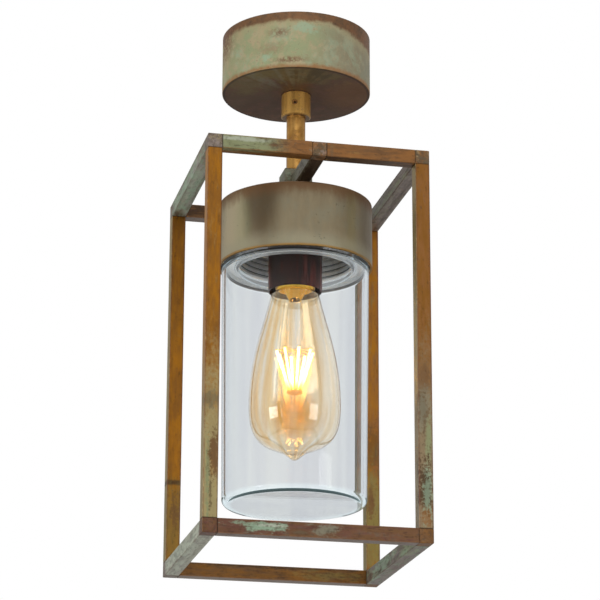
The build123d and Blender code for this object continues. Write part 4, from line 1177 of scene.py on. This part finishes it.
class LIGHT_OT_bulb(bpy.types.Operator):
    """Make the bulb's threaded screw cap, and finish its glass, mount, wires and filaments"""
    bl_idname = "ceiling_light.bulb"
    bl_label = "Bulb"

    def execute(self, context):
        sizes = context.scene.light_holder
        self.screw_cap(sizes)
        black = moulded("black glass", (0.012, 0.012, 0.014), (0.02, 0.018, 0.018), 0.12, 0.4)
        dress(black, "bulb_insulator")
        dress(plain_metal("solder", linear(170, 168, 162), linear(140, 138, 134), 0.4), "bulb_contact")
        self.envelope()
        clear = Finish("mount glass").clear(
            {"Base Color": (1.0, 1.0, 1.0, 1.0), "Roughness": 0.02, "IOR": 1.14, "Transmission Weight": 1.0},
            (0.9, 0.9, 0.85), 10.0)
        dress(clear, "bulb_mount")
        self.support()
        self.filaments()
        return {"FINISHED"}

    def envelope(self):
        """Amber glass with streaks along its meridians, paler to the right.

        It has a golden core below the filaments and a faint warm glow round them, both painted light from
        the lit filaments.
        """
        low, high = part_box("bulb_filaments")
        finish = Finish("amber glass")
        streak = finish.streaks(4.5, 3.0)
        pale = 1.0 - 0.75 * finish.mask(finish.axis("X"), 0.0, 0.03)
        amber = finish.share(streak, 0.5, 0.14) * pale
        tone = Coats(finish, linear(255, 253, 246), linear(251, 230, 192), amber)
        # Painted light: a golden core below the filaments.
        core = ((-0.0066, -0.030, low.z - 0.024), (0.020, 0.024, 0.018), linear(236, 178, 78), 1.0)
        tone.stain(streak, (core,), 1.5, 0.4 + 0.8 * streak)
        # Painted light: emission makes a warm glow round the filaments.
        height = finish.axis("Z")
        lit = finish.mask(height, low.z - 0.045, low.z) * (1.0 - finish.mask(height, low.z, high.z + 0.05))
        glow = finish.mix(linear(22, 16, 8), linear(44, 32, 14), lit * (0.4 + streak))
        dress(finish.clear({
            "Base Color": tone.colour,
            "Roughness": 0.0,
            "IOR": 1.7,
            "Transmission Weight": 1.0,
            "Emission Color": glow,
            "Emission Strength": 1.0,
        }, (0.95, 0.70, 0.36), 80.0), "bulb_glass")

    def support(self):
        """Wires and discs with the filaments' light painted on as emission, orange towards the lower disc.
        """
        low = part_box("bulb_support")[0]
        finish = Finish("support wire")
        cloud = finish.noise(0.0015)
        # Painted light: the emission is stronger and more orange towards the lower disc.
        lit = (1.0 - finish.mask(finish.axis("Z"), low.z, low.z + 0.03)) * (0.6 + 0.6 * cloud)
        dress(finish.surface({
            "Base Color": finish.mix(linear(214, 190, 140), linear(190, 160, 110), cloud),
            "Metallic": 0.3,
            "Roughness": 0.3 + 0.2 * cloud,
            "Emission Color": finish.mix(linear(120, 84, 36), linear(255, 176, 62), lit),
            "Emission Strength": 0.8,
        }), "bulb_support")

    def screw_cap(self, sizes):
        """Screw cap: top plate, threaded wall, and the way back inside, open below."""
        low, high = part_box("bulb_cap")
        inside = sizes.cap - sizes.depth - sizes.cap_wall
        outline = rounded([
            (0.0, high.z - sizes.cap_wall, 0.0),
            (inside, high.z - sizes.cap_wall, 0.0005),
            (inside, low.z, 0.0),
            (sizes.cap, low.z, 0.0),
            (sizes.cap, high.z, 0.0012),
            (0.0, high.z, 0.0),
        ])
        outline = filled(outline, 0.0003, low.z, high.z)
        thread = screw(sizes.cap, sizes.pitch, sizes.depth, low.z + 0.001, high.z - 0.002, 0.0015)
        # Painted light: the emission gives the brass the glow of the filaments' light.
        finish = Finish("screw cap brass")
        cloud = finish.noise(0.003)
        brass = finish.surface({
            "Base Color": finish.mix(linear(206, 168, 92), linear(178, 134, 70), cloud),
            "Metallic": 0.9,
            "Roughness": 0.2 + 0.2 * cloud,
            "Emission Color": finish.mix(linear(204, 178, 74), linear(176, 142, 50), cloud),
            "Emission Strength": 0.8,
        })
        shell = lathe(outline, 96, thread)
        piece("bulb_screw_cap", [shell], brass, "bulb", "contact_brass", "bulb_cap")

    def filaments(self):
        """Lit sticks: pale yellow, brighter in ragged bands, and orange towards their lower ends."""
        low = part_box("bulb_filaments")[0]
        finish = Finish("filament")
        band = finish.noise(0.004, 2.0)
        lit = finish.mask(finish.axis("Z"), low.z + 0.0005, low.z + 0.010)
        glow = finish.mix((1.0, 0.58, 0.16), (1.0, 0.68, 0.26), band)
        dress(finish.surface({
            "Base Color": finish.mix(linear(250, 226, 150), linear(244, 196, 96), band),
            "Roughness": 0.6,
            "Emission Color": finish.mix((0.12, 0.036, 0.004), glow, lit),
            "Emission Strength": 13.0,
        }), "bulb_filaments")


class LIGHT_OT_wiring(bpy.types.Operator):
    """Finish the bracket, fixings, terminal block and leads, with slotted screws and threaded nipples"""
    bl_idname = "ceiling_light.wiring"
    bl_label = "Wiring"

    def execute(self, context):
        sizes = context.scene.light_fixings
        zinc = plain_metal("zinc steel", linear(172, 172, 168), linear(140, 140, 138), 0.38, size=0.008)
        steel = plain_metal("dark steel", linear(96, 92, 86), linear(74, 70, 66), 0.4)
        dress(zinc, "ceiling_bracket", "nipple_nuts", "nipple_washers")
        plastic = moulded("terminal plastic", linear(224, 222, 214), linear(206, 203, 194), 0.45)
        dress(plastic, "terminal_block")
        brown = moulded("brown lead", linear(104, 62, 36), linear(90, 52, 30), 0.4, size=0.003)
        dress(brown, "live_lead")
        blue = moulded("blue lead", linear(52, 92, 168), linear(44, 80, 150), 0.4, size=0.003)
        dress(blue, "neutral_lead")
        self.earth_lead()
        self.nipples(sizes, steel)
        self.terminal_screws(sizes, zinc)
        self.headed("block_screw", zinc, sizes.block_shank, 0.0004, sizes.block_head,
                    sizes.block_slot, sizes.block_slot_depth, -1)
        self.headed("earth_screw", zinc, sizes.earth_shank, 0.0005, sizes.earth_head,
                    sizes.earth_slot, sizes.earth_slot_depth, 1)
        return {"FINISHED"}

    def earth_lead(self):
        """Green along one half of the lead and yellow along the other."""
        finish = Finish("earth lead")
        cloud = finish.noise(0.003)
        half = finish.mask(finish.axis("Y"), -0.0001, 0.0001)
        dress(finish.surface({
            "Base Color": finish.mix(linear(58, 138, 62), linear(222, 196, 60), half),
            "Roughness": 0.36 + 0.14 * cloud,
        }), "earth_lead")

    def nipples(self, sizes, steel):
        """Hollow tubes with a thread from end to end."""
        for name in ("upper_nipple", "lower_nipple"):
            low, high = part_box(name)
            bore = high.x - sizes.nipple_wall
            outline = filled(rounded([
                (bore, low.z, 0.0),
                (high.x, low.z, 0.0),
                (high.x, high.z, 0.0),
                (bore, high.z, 0.0),
                (bore, low.z, 0.0),
            ]), 0.0001, low.z, high.z)
            thread = screw(high.x, sizes.nipple_pitch, sizes.nipple_depth, low.z + 0.0005, high.z - 0.0005,
                           0.0005)
            piece(name, [lathe(outline, 64, thread)], steel, "fixture", "dark_steel", name)

    def terminal_screws(self, sizes, zinc):
        """Six slotted heads, two rows of three."""
        low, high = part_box("terminal_screws")
        shells = []
        for x in np.linspace(low.x + sizes.clamp, high.x - sizes.clamp, 3).tolist():
            for y in (low.y + sizes.clamp, high.y - sizes.clamp):
                shells += slotted((x, y), sizes.clamp, low.z, high.z, sizes.clamp_slot,
                                  sizes.clamp_slot_depth, -1)
        piece("terminal_screws", shells, zinc, "fixture", "contact_brass", "terminal_screws")

    def headed(self, name, zinc, shank, tip, head, slot, slot_depth, facing):
        """A slotted head on a plain shank with a rounded tip.

        Tip is the rounding of the tip. Facing is 1 for a head on top and -1 for one underneath.
        """
        low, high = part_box(name)
        middle = ((low.x + high.x) / 2, (low.y + high.y) / 2)
        radius = (high.x - low.x) / 2
        if facing > 0:
            seat = high.z - head
            shells = slotted(middle, radius, seat, high.z, slot, slot_depth, facing)
            outline = [(0.0, low.z, 0.0), (shank, low.z, tip), (shank, seat, 0.0), (0.0, seat, 0.0)]
        else:
            seat = low.z + head
            shells = slotted(middle, radius, low.z, seat, slot, slot_depth, facing)
            outline = [(0.0, seat, 0.0), (shank, seat, 0.0), (shank, high.z, tip), (0.0, high.z, 0.0)]
        shells.append(lathe(rounded(outline), 32, middle=middle))
        piece(name, shells, zinc, "fixture", "zinc_steel", name)


STEPS = (LIGHT_OT_stage, LIGHT_OT_rose, LIGHT_OT_stem, LIGHT_OT_frame, LIGHT_OT_cap, LIGHT_OT_glass,
         LIGHT_OT_holder, LIGHT_OT_bulb, LIGHT_OT_wiring)
GROUPS = {"light_brass": BrassColours, "light_glass": GlassSizes, "light_holder": HolderSizes,
          "light_fixings": FixingSizes, "light_studio": StudioSettings}


class LIGHT_PT_panel(bpy.types.Panel):
    """Steps of dressing the ceiling light"""
    bl_idname = "LIGHT_PT_panel"
    bl_label = "Ceiling light"
    bl_space_type = "VIEW_3D"
    bl_region_type = "UI"
    bl_category = "Ceiling light"

    def draw(self, context):
        for step in STEPS:
            self.layout.operator(step.bl_idname)


def register():
    for kind in (*GROUPS.values(), *STEPS, LIGHT_PT_panel):
        bpy.utils.register_class(kind)
    for name, group in GROUPS.items():
        setattr(bpy.types.Scene, name, PointerProperty(type=group))


def unregister():
    for name in GROUPS:
        delattr(bpy.types.Scene, name)
    for kind in reversed((*GROUPS.values(), *STEPS, LIGHT_PT_panel)):
        bpy.utils.unregister_class(kind)


def main():
    """Dress the light in order."""
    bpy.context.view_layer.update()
    register()
    bpy.ops.ceiling_light.stage()
    bpy.ops.ceiling_light.rose()
    bpy.ops.ceiling_light.stem()
    bpy.ops.ceiling_light.frame()
    bpy.ops.ceiling_light.cap()
    bpy.ops.ceiling_light.glass()
    bpy.ops.ceiling_light.holder()
    bpy.ops.ceiling_light.bulb()
    bpy.ops.ceiling_light.wiring()


if __name__ == "__main__":
    main()
